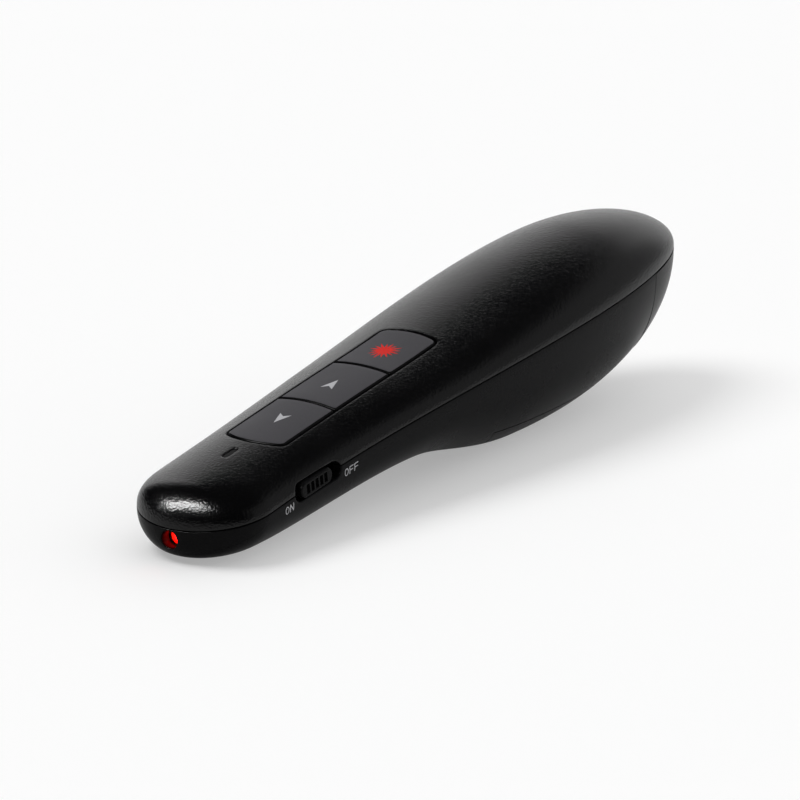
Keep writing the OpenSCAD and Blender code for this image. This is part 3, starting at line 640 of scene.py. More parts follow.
loop_outer, loop_inner = lower_skin(cap_loop)
towards = np.arctan2(loop_outer[:, 2] - LASER_Z, loop_outer[:, 1])
circle = np.stack([np.cos(towards), np.sin(towards)], 1)
fade = np.linspace(0, 1, CAP_RINGS)[:, None, None]
hole = np.array([0, LASER_Z]) + (APERTURE + APERTURE_ROUND) * circle
flat = loop_outer[:, 1:] * (1 - fade) + hole * fade
cap_y, cap_z = flat[..., 0], flat[..., 1]
cap_outer = np.stack([LENGTH / 2 - nose_station(cap_y, cap_z), cap_y, cap_z], -1)
cap_outer[0] = loop_outer
hole_rings = [np.stack([cap_outer[-1, :, 0] - sink, (APERTURE + out) * circle[:, 0],
                        LASER_Z + (APERTURE + out) * circle[:, 1]], 1)
              for out, sink in fillet(APERTURE_ROUND)[1:]]
cap_outer = np.concatenate([cap_outer, np.stack(hole_rings)])
back = cap_outer[-1] - np.array([WALL, 0, 0])
fade = np.concatenate([np.linspace(0, 1, CAP_RINGS), np.ones(len(hole_rings))])[:, None, None]
cap_inner = loop_inner * (1 - fade) + back * fade

places, quads = patchwork([(low_grid, low_keep), (left_side, None), (right_side, None), (low_notch, None)])
outer, inner = lower_skin(places)
points, cap_quads = patchwork([(np.concatenate([cap_outer, cap_inner], -1), None)])
quads = np.concatenate([quads, cap_quads + len(places)])
outer, inner = np.concatenate([outer, points[:, :3]]), np.concatenate([inner, points[:, 3:]])
bottom_shell = walled("bottom_shell_skin", quads, outer, inner)
dull_black = moulded("dull_black", (0.004, 0.004, 0.0043), (0.007, 0.007, 0.0075), 2900, (0.22, 0.3),
                     lift=3e-5, bumps=0.6, shine=0.06)
put(bottom_shell, "housing", "shell", dull_black, "bottom_shell")

# Battery bay
# Two bulkheads and a ribbed roof inside the belly, moulded in one with the bottom shell.
# The roof follows the two cells, and two counterbores in its ridge take the screws.

BAY, BULKHEAD, REAR_WALL_TOP = (65.2, 116.3), 1.2, 16.3
ROOF_TOP, ROOF_LOW, ROOF_HALF = 17.6, 13.8, 10.8
CELL_SIDE, CELL_Z = 5.4, 11.0
SCREWS, SCREW_BORE, SCREW_SEAT = (82.4, 103.4), 2.15, 16.5
SCREW_BLOCK = 1.3 * SCREW_BORE


def between(outer, inner):
    """Closed solid between two grids of points, one over the other."""
    points, quads = patchwork([(np.concatenate([outer, inner], -1), None)])
    return wall_parts(quads, points[:, :3], points[:, 3:])


def slab(first, last, y, low, high, steps=12):
    """Closed block between two stations: columns across, each from its low to its high side."""
    share = np.linspace(0, 1, steps)[:, None]
    z = low * (1 - share) + high * share + 0 * y
    face = np.stack([0 * z, y + 0 * z, z], -1)
    return between(face + [LENGTH / 2 - first, 0, 0], face + [LENGTH / 2 - last, 0, 0])


def joined(parts):
    """Several closed solids as one list of points and one of faces."""
    first = np.cumsum([0] + [len(points) for points, _ in parts[:-1]])
    faces = np.concatenate([faces + n for (_, faces), n in zip(parts, first)])
    return np.concatenate([points for points, _ in parts]), faces


side_angles = np.linspace(0, 180, 61)


def bulkhead(first, top=np.inf):
    """Wall across the belly: the lower skin's section, set into the wall and cut off at the top."""
    ring = bottom_point(first + 0 * side_angles, side_angles, WALL / 2)
    high = np.maximum(np.minimum(seam(first) - SEAM_GAP, top), ring[:, 2])
    return slab(first, first + BULKHEAD, ring[:, 1], ring[:, 2], high)


roof_s, roof_y = np.linspace(*BAY, 104), np.linspace(-ROOF_HALF, ROOF_HALF, 109)
s, y = np.meshgrid(roof_s, roof_y, indexing="ij")
roof_grid = np.stack([s, y, 0 * s], -1)
roof_keep = np.ones((len(roof_s) - 1, len(roof_y) - 1), bool)
roof_parts = [(roof_grid, roof_keep)]
j1, j2 = near(roof_y, -SCREW_BLOCK), near(roof_y, SCREW_BLOCK)
for station in SCREWS:
    i1, i2 = near(roof_s, station - SCREW_BLOCK), near(roof_s, station + SCREW_BLOCK)
    roof_keep[i1:i2, j1:j2] = False
    loop = block_loop(roof_grid, i1, i2, j1, j2)
    turn = np.arctan2(loop[:, 1], loop[:, 0] - station)
    rings = [np.stack([station + r * np.cos(turn), r * np.sin(turn), deep + 0 * turn], 1)
             for r, deep in ((SCREW_BORE, 0), (SCREW_BORE, 1), (0, 1))]
    roof_parts.append((frame_patch(loop, rings, steps=3), None))
places, quads = patchwork(roof_parts)
s, y, deep = places.T
over = CELL_SIDE ** 2 - (np.abs(y) - CELL_SIDE) ** 2
low = np.maximum(ROOF_LOW, CELL_Z + np.sqrt(np.maximum(over, 0))) * (1 - deep) + SCREW_SEAT * deep
roof = wall_parts(quads, np.stack([LENGTH / 2 - s, y, ROOF_TOP + 0 * s], 1),
                  np.stack([LENGTH / 2 - s, y, low], 1))
walls = [bulkhead(BAY[0]), bulkhead(BAY[1] - BULKHEAD, REAR_WALL_TOP)]
bay = mesh_piece("battery_bay", *joined(walls + [roof]))
put(bay, "housing", "shell", dull_black, "bottom_shell")

# Battery door
# The belly's underside, a moulded leaf that slides off towards the tail.
# Its edges run level with the floor, and a hook behind its front edge catches the shell.

LEAF_LEVEL, LEAF_FADE = DOOR_LEVEL - DOOR_GAP, 8
HOOK_FRONT, HOOK_FOOT, HOOK_BACK = 73.1, 81.8, 83.0
HOOK_HALF, HOOK_TOP, HOOK_LOW, HOOK_BASE = 3.5, 4.45, 3.4, 0.6
leaf_front = DOOR_FRONT + DOOR_SPLIT
tail_s = np.linspace(leaf_front, TAIL_CUT, 400)
leaf_tip = tail_s[np.argmax(door_angle(tail_s, LEAF_LEVEL) >= 90)]
leaf_v = np.linspace(DOOR_ROW, 2 - DOOR_ROW, 49)
share = np.sin(np.radians(np.linspace(0, 90, 80)))[:, None]
start = leaning_edge(leaf_v, leaf_front, LEAF_LEVEL)
s = start * (1 - share) + leaf_tip * share
v = leaf_v + 0 * s
a = row_angle(v, door_angle(s, LEAF_LEVEL))
inside = s - np.clip(1 - (s - start) / LEAF_FADE, 0, 1) * WALL * DOOR_LEAN
turn = row_angle(v, door_angle(inside, LEAF_LEVEL, WALL))
inner = bottom_point(inside, turn, WALL)
inner[..., 2] = np.minimum(inner[..., 2], np.maximum(LEAF_LEVEL, bottom_point(s, a)[..., 2]))
leaf = between(bottom_point(s, a), inner)
y = np.linspace(-HOOK_HALF, HOOK_HALF, 8)
hook = [slab(HOOK_FRONT, HOOK_FOOT, y, HOOK_LOW, HOOK_TOP, steps=3),
        slab(HOOK_FOOT, HOOK_BACK, y, HOOK_BASE, HOOK_TOP, steps=3)]
door = mesh_piece("battery_door_leaf", *joined([leaf] + hook))
put(door, "battery_door", "shell", dull_black, "battery_door")

# Receiver housing
# The lower tail, moulded in the same plastic: the handle of the stowed receiver.
# Its spigot and plug push into the belly.

TAIL_FRONT, TAIL_DROP = 121.6, 0.15
SPIGOT_FRONT, SPIGOT_OVERLAP, SPIGOT_HALF, SPIGOT_LOW, SPIGOT_TOP = 119.4, 1, 9, 12, 21.6
share = np.sin(np.radians(np.linspace(0, 90, 60)))[:, None]
s = TAIL_FRONT + (LENGTH - TAIL_FRONT) * share
a = np.linspace(0, 180, 97) + 0 * s
skin = bottom_point(s, a) - [0, 0, TAIL_DROP]
lid = skin.copy()
lid[..., 2] = seam(s) - SEAM_GAP - TAIL_DROP
tail_body = between(skin, lid)
y = np.linspace(-SPIGOT_HALF, SPIGOT_HALF, 31)
inside = bottom_point(SPIGOT_FRONT + 0 * side_angles, side_angles, WALL + TAIL_DROP)
low = np.maximum(np.interp(y, inside[::-1, 1], inside[::-1, 2]), SPIGOT_LOW)
spigot = slab(SPIGOT_FRONT, TAIL_FRONT + SPIGOT_OVERLAP, y, low, np.maximum(low, SPIGOT_TOP), steps=3)
receiver = mesh_piece("receiver_tail", *joined([tail_body, spigot]))
put(receiver, "usb_receiver", "shell", dull_black, "receiver_housing")

# Keys
# Three caps side by side in one opening, each on its own tactile switch and level with the crown.
# Each is a black body down to the switch with a matte grey inlay over its top; the black rim and sides are
# painted shade for the keys' shaded edges and the dark gaps between them.

KEY_PROUD, KEY_GAP, KEY_BASE = 0.1, 0.45, -3.8
CAP_CORNER, CAP_PLAY, CAP_ROUND, CAP_EDGE_SHARE = 0.25, 0.1, 0.3, 0.4
# The first width here is the black rim left round each grey inlay: painted shade on the keys' edges.
SHADE_RIM, INLAY_RISE, INLAY_THICK, INLAY_ROUND = 0.2, 0.02, 0.3, 0.06
key_grey = moulded("key_grey", (0.052, 0.05, 0.056), (0.069, 0.067, 0.0745), 5200, (0.5, 0.58),
                   lift=1.2e-5, shine=0.2)


def skin_lift(x, y):
    """Height of the shell's skin over the deck plane, along the deck's normal."""
    s, a = on_top(x, y)
    rise = seam(s) + crown(s) * np.sin(np.radians(a)) - DECK_TOP
    return (rise + x * np.sin(TILT)) / np.cos(TILT)


def bowed_end(y, edge, bend, shrink):
    """End of the key panel at a place across: the bow, then the corner that rounds it off."""
    middle, radius, corner_x, corner_y, corner, tip = panel_end(edge, bend, -shrink)
    bow = middle + np.sqrt(radius ** 2 - y ** 2)
    turn = corner_x + np.sqrt(np.maximum(corner ** 2 - np.maximum(np.abs(y) - corner_y, 0) ** 2, 0))
    return np.where(np.abs(y) < radius * np.sin(np.radians(tip)), bow, turn)


def straight_end(y, edge, shrink):
    """Straight end of a cap with a small round corner."""
    past = np.maximum(np.abs(y) - KEY_HALF + shrink + CAP_CORNER, 0)
    return edge - shrink + CAP_PLAY - CAP_CORNER + np.sqrt(np.maximum(CAP_CORNER ** 2 - past ** 2, 0))


def edge_drop(inset, rounding):
    """Drop of a round edge at a distance in from the side: a quarter of a circle, then level."""
    return rounding - np.sqrt(rounding ** 2 - np.clip(rounding - inset, 0, rounding) ** 2)


def key_layers(shrink, rounding, proud, base):
    """One layer of each key: the crown with a round edge, and straight sides down to the base."""
    half = KEY_HALF - shrink
    near_edge = rounding * (1 - np.cos(np.radians(np.linspace(0, 90, 7))))
    half_y = np.concatenate([half - near_edge, np.linspace(half - rounding, 0, 20)[1:]])
    across = np.concatenate([half_y, -half_y[-2::-1]])
    gap = (KEY_PITCH - KEY_GAP) / 2, (KEY_PITCH + KEY_GAP) / 2
    straight = [straight_end(across, edge, shrink) for edge in (gap[0], -gap[1])]
    bows = [bowed_end(across, edge, bend, shrink)
            for edge, bend in ((PANEL_FRONT, FRONT_BEND), (-PANEL_REAR, REAR_BEND))]
    outlines = (bows[0], straight[1]), (straight[0], straight[0]), (straight[1], bows[1])
    for front, rear in outlines:
        length = front + rear
        run = np.minimum(near_edge[:, None] / length, CAP_EDGE_SHARE)
        middle = np.linspace(0, 1, 26)[1:-1, None]
        t = np.concatenate([run, run[-1] + (1 - 2 * run[-1]) * middle, 1 - run[::-1]])
        x, y = front - t * length, across + 0 * t
        slope = np.hypot(1, np.gradient(front, across)), np.hypot(1, np.gradient(rear, across))
        inset = np.minimum(np.minimum(t * length / slope[0], (1 - t) * length / slope[1]), half - np.abs(y))
        lift = skin_lift(x, y)
        crowned = from_deck(x, y, lift + proud - edge_drop(inset, rounding))
        yield between(crowned, from_deck(x, y, base(lift)))


key_names = ("page_down_key", "page_up_key", "laser_key")
# The black cap shows round its grey inlay and down its sides: painted shade for the keys' shaded edges and
# the gaps between them.
layers = (
    ("_cap", dull_black, CAP_PLAY, CAP_ROUND, KEY_PROUD - INLAY_RISE, lambda lift: KEY_BASE + 0 * lift),
    ("_inlay", key_grey, CAP_PLAY + SHADE_RIM, INLAY_ROUND, KEY_PROUD, lambda lift: lift - INLAY_THICK))
for suffix, material, *shape in layers:
    for name, parts in zip(key_names, key_layers(*shape)):
        put(mesh_piece(name + suffix, *parts), name, "key", material, name)

# Signs on the keys
# Pad-printed marks in thin ink: an arrow on each paging key and a red burst on the laser key.
# The ink lies on the inlays, and its underside is sunk into them a little.

INK = 0.012
INK_ROOT = 4 * INK
ARROW_LONG, ARROW_NOTCH, ARROW_HALF = 3.45, 2.6, 1.15
ARROWS = (("page_down_key", 16.95, 1), ("page_up_key", -1.15, -1))
BURST_X, BURST_SPIKES, BURST_SHARP = -14.3, 16, 1.5
BURST_CORE, BURST_LONG, BURST_SHORT, BURST_WAVE, BURST_WAVES = 1.25, 1.7, 0.3, 0.2, 3
white_ink = moulded("white_ink", (0.5, 0.5, 0.52), (0.42, 0.42, 0.44), 6000, (0.45, 0.55), 4e-6)
red_ink = moulded("red_ink", (0.72, 0.013, 0.006), (0.62, 0.01, 0.005), 6000, (0.5, 0.6), 4e-6, shine=0.1)


def printed(x, y):
    """Ink on a key: deck places, laid just over the key's crown with its underside in the cap."""
    lift = skin_lift(x, y) + KEY_PROUD
    return between(from_deck(x, y, lift + INK), from_deck(x, y, lift - INK_ROOT))


def arrow(tip, way):
    """Arrowhead with a notched back: each half spans from the tip to the notch and to the wing."""
    u, v = np.meshgrid(np.linspace(0, 1, 12), np.linspace(0, 1, 6), indexing="ij")
    run = u * (ARROW_NOTCH * (1 - v) + ARROW_LONG * v)
    return joined([printed(tip - way * run, side * u * v * ARROW_HALF) for side in (1, -1)])


def star():
    """Burst: a disc whose radius rises to spikes at even angles, every second one short, with a slow wave."""
    turn = np.radians(np.linspace(0, 360, 8 * BURST_SPIKES + 1))
    phase = turn * BURST_SPIKES / (2 * np.pi)
    spike = np.abs(2 * (phase % 1) - 1) ** BURST_SHARP
    short = BURST_SHORT * (np.floor(phase + 0.5) % 2)
    reach = BURST_CORE + (BURST_LONG + BURST_WAVE * np.cos(BURST_WAVES * turn) - short) * spike
    u = np.linspace(0, 1, 9)[:, None]
    return printed(BURST_X + u * reach * np.cos(turn), u * reach * np.sin(turn))


for name, tip, way in ARROWS:
    put(mesh_piece(name + "_arrow", *arrow(tip, way)), name, "key", white_ink)
put(mesh_piece("laser_key_burst", *star()), "laser_key", "key", red_ink)

# Power slide
# A moulded black knob in the side slot, with five grip grooves across it.
# It carries the lever of the slide switch behind it.

KNOB_X, KNOB_LONG, KNOB_HIGH, KNOB_PROUD = 22.9, 8.5, 2.7, 0.15
KNOB_BACK, KNOB_ROUND = 8.9, 0.3
FLANGE_X, FLANGE_LONG, FLANGE_HIGH, FLANGE_THICK = 23.15, 14.3, 2.4, 0.8
GROOVES, GROOVE_PITCH, GROOVE_DEEP = 5, 1.2, 0.65
GROOVE_HALF, GROOVE_HIGH, GROOVE_END = 0.4, 0.85, 0.2


def stadium(long, high):
    """Grid over a bar with round ends: places along it, and heights evenly spread in angle."""
    end, level = np.radians(np.linspace(0, 90, 22)), (long - high) / 2
    x = np.concatenate([-level - high / 2 * np.cos(end), np.linspace(-level, level, 150)[1:-1],
                        level + high / 2 * np.sin(end)])[:, None]
    past = np.maximum(np.abs(x) - level, 0)
    z = np.sqrt(np.maximum((high / 2) ** 2 - past ** 2, 0)) * np.sin(np.radians(np.linspace(-90, 90, 49)))
    return x + 0 * z, z, high / 2 - np.hypot(past, z)


def side_bar(x, z, back, face):
    """Closed bar on the side of the deck, from a level back to a face."""
    outer = from_deck(x, 0 * x, SLOT_Z + z)
    inner = outer.copy()
    outer[..., 1], inner[..., 1] = face, back
    return between(outer, inner)


x, z, inset = stadium(KNOB_LONG, KNOB_HIGH)
nearest = np.clip(np.round(x / GROOVE_PITCH), -(GROOVES // 2), GROOVES // 2) * GROOVE_PITCH
wide = np.clip(1 - ((x - nearest) / GROOVE_HALF) ** 2, 0, 1) ** 0.5
groove = GROOVE_DEEP * wide * smooth((GROOVE_HIGH - np.abs(z)) / GROOVE_END)
face = float(half_width(DECK_STATION - SLOT_X)) + KNOB_PROUD - edge_drop(inset, KNOB_ROUND) - groove
x_flange, z_flange, _ = stadium(FLANGE_LONG, FLANGE_HIGH)
knob = mesh_piece("power_slide_knob", *joined([
    side_bar(KNOB_X + x, z, KNOB_BACK, face),
    side_bar(FLANGE_X + x_flange, z_flange, KNOB_BACK, KNOB_BACK + FLANGE_THICK)]))
put(knob, "power_switch", "shell", dull_black, "power_slide")

# Switch lettering
# ON and OFF beside the two ends of the slide, along the seam.
# They are pad-printed on the bottom shell in pale ink.

STROKE, LETTER_HIGH, LETTER_WIDE, LETTER_GAP = 0.17, 1.42, 1.0, 0.27
MARK_SLOPE = np.radians(10)
MARKS = (("mark_on", "ON", (16.2, 7.25)), ("mark_off", "OFF", (32.55, 9.85)))
pale_ink = moulded("pale_ink", (0.62, 0.62, 0.64), (0.5, 0.5, 0.52), 6000, (0.45, 0.55), 4e-6)


def side_print(u, w, centre):
    """Ink on the left side of the bottom shell: a flat mark turned to the slope and laid on the skin."""
    s = centre[0] + u * np.cos(MARK_SLOPE) - w * np.sin(MARK_SLOPE)
    z = centre[1] + u * np.sin(MARK_SLOPE) + w * np.cos(MARK_SLOPE)
    drop = np.clip((seam(s) - SEAM_GAP - z) / depth(s), 0, 1)
    x, y = LENGTH / 2 - s, half_width(s) * (1 - drop ** POWER) ** (1 / POWER)
    return between(np.stack([x, y + INK, z], -1), np.stack([x, y - INK_ROOT, z], -1))


def stroke(start, end):
    """Straight stroke of a letter: a strip of even width between two points."""
    start, end = np.array(start, float), np.array(end, float)
    side = np.array([start[1] - end[1], end[0] - start[0]]) / np.linalg.norm(end - start) * STROKE / 2
    along, over = np.linspace(0, 1, 9)[:, None], np.array([-1, 1])
    line = start[:, None, None] * (1 - along) + end[:, None, None] * along
    return line[0] + side[0] * over, line[1] + side[1] * over


def ring():
    """Round letter: the band between two ellipses a stroke apart."""
    turn, over = np.linspace(0, 2 * np.pi, 49)[:, None], np.array([0, STROKE])
    return (LETTER_WIDE / 2 - over) * np.cos(turn), (LETTER_HIGH / 2 - over) * np.sin(turn)


def letter(kind):
    """Strokes of one letter about its own middle."""
    half, top = LETTER_WIDE / 2 - STROKE / 2, LETTER_HIGH / 2 - STROKE / 2
    if kind == "O":
        return [ring()]
    left = stroke((-half, -LETTER_HIGH / 2), (-half, LETTER_HIGH / 2))
    if kind == "N":
        right = stroke((half, -LETTER_HIGH / 2), (half, LETTER_HIGH / 2))
        return [left, right, stroke((-half, top), (half, -top))]
    return [left, stroke((-half, top), (LETTER_WIDE / 2, top)), stroke((-half, 0), (half, 0))]


def word(letters, centre):
    """Letters set side by side with even gaps, as closed strips of ink."""
    pitch = LETTER_WIDE + LETTER_GAP
    first = -(len(letters) - 1) * pitch / 2
    strokes = [(u + first + k * pitch, w) for k, kind in enumerate(letters) for u, w in letter(kind)]
    return joined([side_print(u, w, centre) for u, w in strokes])


for name, letters, centre in MARKS:
    put(mesh_piece(name, *word(letters, centre)), "housing", "shell", pale_ink)

# Status light
# A smoked acrylic light pipe in the slot ahead of the keys, over a small light-emitting diode.
# The pipe is moulded, and the diode is a cast resin block on the board.


def dress(material, *names):
    """Gives CAD nodes that stay in view a finish of their own."""
    for name in names:
        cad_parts[name].material_slots[0].material = material


dress(moulded("smoked_acrylic", (0.002, 0.002, 0.0022), (0.004, 0.004, 0.0045), 900, (0.3, 0.4), 4e-6,
              shine=0.05), "light_pipe")
dress(moulded("cast_resin", (0.6, 0.57, 0.42), (0.68, 0.66, 0.52), 2200, (0.2, 0.3), 5e-6), "status_led")

# Circuit boards
# Glass-fibre boards with copper tracks under green lacquer: the main board and the laser's driver.
# The main board sits on posts under the keys, and the driver is soldered to the diode's legs.


def lacquered_board():
    """Green lacquer over tracks: a brick pattern whose joints are the raised copper lines."""
    material, tree, shader = new_finish("lacquered_board")
    place, tracks, bump = own_nodes(tree, "ShaderNodeTexCoord", "ShaderNodeTexBrick", "ShaderNodeBump")
    fill(tracks, {"Color1": (0.012, 0.085, 0.03, 1), "Color2": (0.016, 0.1, 0.036, 1),
                  "Mortar": (0.03, 0.17, 0.06, 1), "Scale": 320, "Mortar Size": 0.06})
    fill(bump, {"Distance": 2e-5})
    fill(shader, {"Roughness": 0.32})
    wire(tree, (place, "Object", tracks, "Vector"), (tracks, "Color", shader, "Base Color"),
         (tracks, "Fac", bump, "Height"), (bump, "Normal", shader, "Normal"))
    return material


dress(lacquered_board(), "main_board", "laser_driver_board")

# Switches and parts on the board
# Three tactile switches with cream plungers, the slide switch, and the controller's parts.
# All are soldered to the board; each plunger rides on its key and the lever on the power slide.

component_black = moulded("component_black", (0.01, 0.01, 0.011), (0.018, 0.018, 0.02), 3000, (0.3, 0.42),
                          lift=8e-6)
plated_steel = moulded("plated_steel", (0.56, 0.56, 0.57), (0.64, 0.63, 0.62), 2600, (0.24, 0.36),
                       lift=3e-6, metal=1.0)
dress(component_black, "page_down_switch", "page_up_switch", "laser_switch", "controller_chip",
      "boost_inductor", "slide_switch_lever", "receiver_tongue")
dress(plated_steel, "crystal", "slide_switch_body")
dress(moulded("plunger_cream", (0.62, 0.59, 0.5), (0.7, 0.67, 0.58), 1800, (0.35, 0.45), 8e-6),
      "page_down_plunger", "page_up_plunger", "laser_plunger")
dress(moulded("fired_ceramic", (0.3, 0.19, 0.08), (0.38, 0.25, 0.12), 2600, (0.4, 0.5), 6e-6),
      "filter_capacitor")

# Laser module
# A turned brass barrel with a lens behind its lip, a ring that holds the lens, and the diode's can.
# The barrel sits in a cradle behind the nose, and the lens glows red, as it does with the laser on.

GLOW_SCALE = 0.6
turned_brass = moulded("turned_brass", (0.5, 0.34, 0.12), (0.6, 0.42, 0.17), 2400, (0.22, 0.34),
                       lift=4e-6, metal=1.0)
dress(turned_brass, "laser_barrel", "laser_diode")
dress(component_black, "lens_retainer")


def set_stops(ramp, stops):
    """Gives a colour ramp its stops, the first in place of the two it starts with."""
    elements = ramp.color_ramp.elements
    elements.remove(elements[-1])
    for k, (position, colour) in enumerate(stops):
        stop = elements.new(position) if k else elements[0]
        stop.position, stop.color = position, (*colour, 1)


def lit_lens():
    """Lit lens: a red glow by distance from the laser's axis, palest in the middle."""
    material, tree, shader = new_finish("lit_lens")
    place, centre, length, ramp = own_nodes(
        tree, "ShaderNodeTexCoord", "ShaderNodeMapping", "ShaderNodeVectorMath", "ShaderNodeValToRGB")
    fill(centre, {"Location": (0, 0, -LASER_Z * GLOW_SCALE),
                  "Scale": (0, GLOW_SCALE / MM, GLOW_SCALE / MM)})
    length.operation = "LENGTH"
    set_stops(ramp, ((0.0, (1, 0.4, 0.35)), (0.2, (1, 0.01, 0.007)), (0.9, (0.6, 0.002, 0.002))))
    fill(shader, {"Base Color": (0.12, 0.002, 0.002, 1), "Roughness": 0.06, "Emission Strength": 8})
    wire(tree, (place, "Object", centre, "Vector"), (centre, "Vector", length, "Vector"),
         (length, "Value", ramp, "Fac"), (ramp, "Color", shader, "Emission Color"))
    return material


dress(lit_lens(), "laser_lens")

# Power cells
# Two small round cells, each a steel can in a printed sleeve with a bright shoulder at its nub end.
# They lie side by side in the bay, one turned about, between the contacts.

CELL_RADIUS, CELL_LONG, CELL_ROUND = 5.25, 44.5, 0.35
NUB_RADIUS, NUB_LONG, NUB_ROUND = 1.9, 1.0, 0.2
CELL_FRONT, CELL_BACK = 66.8, 114.7
STEEL, PRINT, COPPER = (0.55, 0.55, 0.56), (0.018, 0.022, 0.035), (0.5, 0.27, 0.09)
BANDS = ((0.0, STEEL, 1.0), (0.012, PRINT, 0.0), (0.72, COPPER, 1.0), (0.965, STEEL, 1.0))


def turned(name, profile, base, y, way):
    """Body turned about an axis along the remote: a profile of run and radius from a base station."""
    a = np.radians(np.linspace(0, 360, 65))
    run, radius = np.array(profile, float).T[:, :, None]
    x = LENGTH / 2 - base - way * run + 0 * a
    points = np.stack([x, y + radius * np.cos(a), CELL_Z + radius * np.sin(a)], -1)
    return mesh_piece(name, *patchwork([(points, None)]), sharp=30)


def sleeve(name, base, way):
    """Printed sleeve: a dark print and a copper band by the share of the length, steel at both ends."""
    material, tree, shader = new_finish(name)
    place, along, split, ink, metal = own_nodes(
        tree, "ShaderNodeTexCoord", "ShaderNodeMapping", "ShaderNodeSeparateXYZ", "ShaderNodeValToRGB",
        "ShaderNodeValToRGB")
    start = LENGTH / 2 - base
    fill(along, {"Scale": (-way / (CELL_LONG * MM), 1, 1), "Location": (way * start / CELL_LONG, 0, 0)})
    fill(shader, {"Roughness": 0.3})
    ink.color_ramp.interpolation = metal.color_ramp.interpolation = "CONSTANT"
    set_stops(ink, [(position, colour) for position, colour, _ in BANDS])
    set_stops(metal, [(position, (share,) * 3) for position, _, share in BANDS])
    wire(tree, (place, "Object", along, "Vector"), (along, "Vector", split, "Vector"),
         (split, "X", ink, "Fac"), (ink, "Color", shader, "Base Color"),
         (split, "X", metal, "Fac"), (metal, "Color", shader, "Metallic"))
    return material


body_end = CELL_LONG - NUB_LONG
can_profile = (
    (0, 0), (0, CELL_RADIUS - CELL_ROUND), (CELL_ROUND, CELL_RADIUS), (body_end - CELL_ROUND, CELL_RADIUS),
    (body_end, CELL_RADIUS - CELL_ROUND), (body_end, NUB_RADIUS), (CELL_LONG - NUB_ROUND, NUB_RADIUS),
    (CELL_LONG, NUB_RADIUS - NUB_ROUND), (CELL_LONG, 0))
cells = (("left_cell", CELL_FRONT + CELL_LONG, 1, -1), ("right_cell", CELL_BACK - CELL_LONG, -1, 1))
for name, base, side, way in cells:
    can = turned(name + "_can", can_profile, base, side * CELL_SIDE, way)
    put(can, "housing", "cell", sleeve(name + "_sleeve", base, way), name)

# Contacts, springs and screws
# Plated spring steel: two front plates with tails, one rear plate, and a coned spring at each flat end.
# The plates slide into the bulkheads, the springs are wound wire, and the screws hold the shells.

SPRING_TURNS, SPRING_FOOT, SPRING_TIP, SPRING_RISE = 3, 3.6, 2.5, 2.8
WIRE, SPRING_PLAY = 0.25, 0.05


def spring(name, base, y, way):
    """Coned spring: a round wire whose centre climbs and closes in evenly with the turn."""
    t, around = np.linspace(0, 1, 145)[:, None], np.radians(np.linspace(0, 360, 13))
    turn, radius = 2 * np.pi * SPRING_TURNS * t, SPRING_FOOT + (SPRING_TIP - SPRING_FOOT) * t
    wide = WIRE * np.where((t == 0) | (t == 1), 0, 1)
    out = radius + wide * np.cos(around)
    climb = WIRE + SPRING_PLAY + SPRING_RISE * t + wide * np.sin(around)
    x = LENGTH / 2 - base - way * climb
    points = np.stack([x, y + out * np.sin(turn), CELL_Z + out * np.cos(turn)], -1)
    return mesh_piece(name, *patchwork([(points, None)]), sharp=60)


for name, base, side, way in (("front_spring", CELL_FRONT, -1, 1), ("rear_spring", CELL_BACK, 1, -1)):
    put(spring(name + "_wire", base, side * CELL_SIDE, way), "housing", "steel", plated_steel, name)
dress(plated_steel, "left_contact", "right_contact", "rear_contact", "front_screw", "rear_screw",
      "receiver_plug")

# Plug contacts
# Four gold-plated strips on the underside of the plug's tongue.
# They are stamped, and pressed into the tongue.

STRIP_FRONT, STRIP_BACK, STRIP_TOP, STRIP_THICK = 111.0, 118.6, 18.88, 0.08
STRIP_PLACES = ((-3.5, 0.55), (-1.0, 0.5), (1.0, 0.5), (3.5, 0.55))
gold_plate = moulded("gold_plate", (0.7, 0.46, 0.14), (0.78, 0.54, 0.2), 2600, (0.2, 0.3), 3e-6, metal=1.0)
strips = []
for middle, half in STRIP_PLACES:
    y = np.linspace(middle - half, middle + half, 4)
    strips.append(slab(STRIP_FRONT, STRIP_BACK, y, STRIP_TOP - STRIP_THICK, STRIP_TOP, steps=3))
put(mesh_piece("plug_strips", *joined(strips)), "usb_receiver", "brass", gold_plate)

# Studio
# A pale floor under two soft lamps, with some light of its own for the camera and for mirrors.
# A small lamp close to the nose lays a highlight on it, and two pale panels stand behind the remote.

FLOOR, FLOOR_GREY = 60.0, 0.62
PALE, MIRRORED = 0.37, 0.1
floor_mesh = bpy.data.meshes.new("studio_floor")
floor_mesh.from_pydata([(-FLOOR, -FLOOR, 0), (FLOOR, -FLOOR, 0), (FLOOR, FLOOR, 0), (-FLOOR, FLOOR, 0)],
                       [], [(0, 1, 2, 3)])
floor = bpy.data.objects.new("studio_floor", floor_mesh)
bpy.context.scene.collection.objects.link(floor)
paper, tree, shader = new_finish("floor_paper")
fill(shader, {"Base Color": (FLOOR_GREY, FLOOR_GREY, FLOOR_GREY, 1), "Roughness": 0.9,
              "Specular IOR Level": 0, "Emission Color": (1, 1, 1, 1)})
seen, direct, either, glow = own_nodes(
    tree, "ShaderNodeLightPath", "ShaderNodeMath", "ShaderNodeMath", "ShaderNodeMath")
direct.operation, either.operation, glow.operation = "MULTIPLY", "MAXIMUM", "MULTIPLY_ADD"
direct.inputs[1].default_value, glow.inputs[1].default_value = PALE, MIRRORED
wire(tree, (seen, "Is Camera Ray", direct, 0), (seen, "Is Glossy Ray", either, 0),
     (seen, "Is Transmission Ray", either, 1), (either, "Value", glow, 0), (direct, "Value", glow, 2),
     (glow, "Value", shader, "Emission Strength"))
floor_mesh.materials.append(paper)
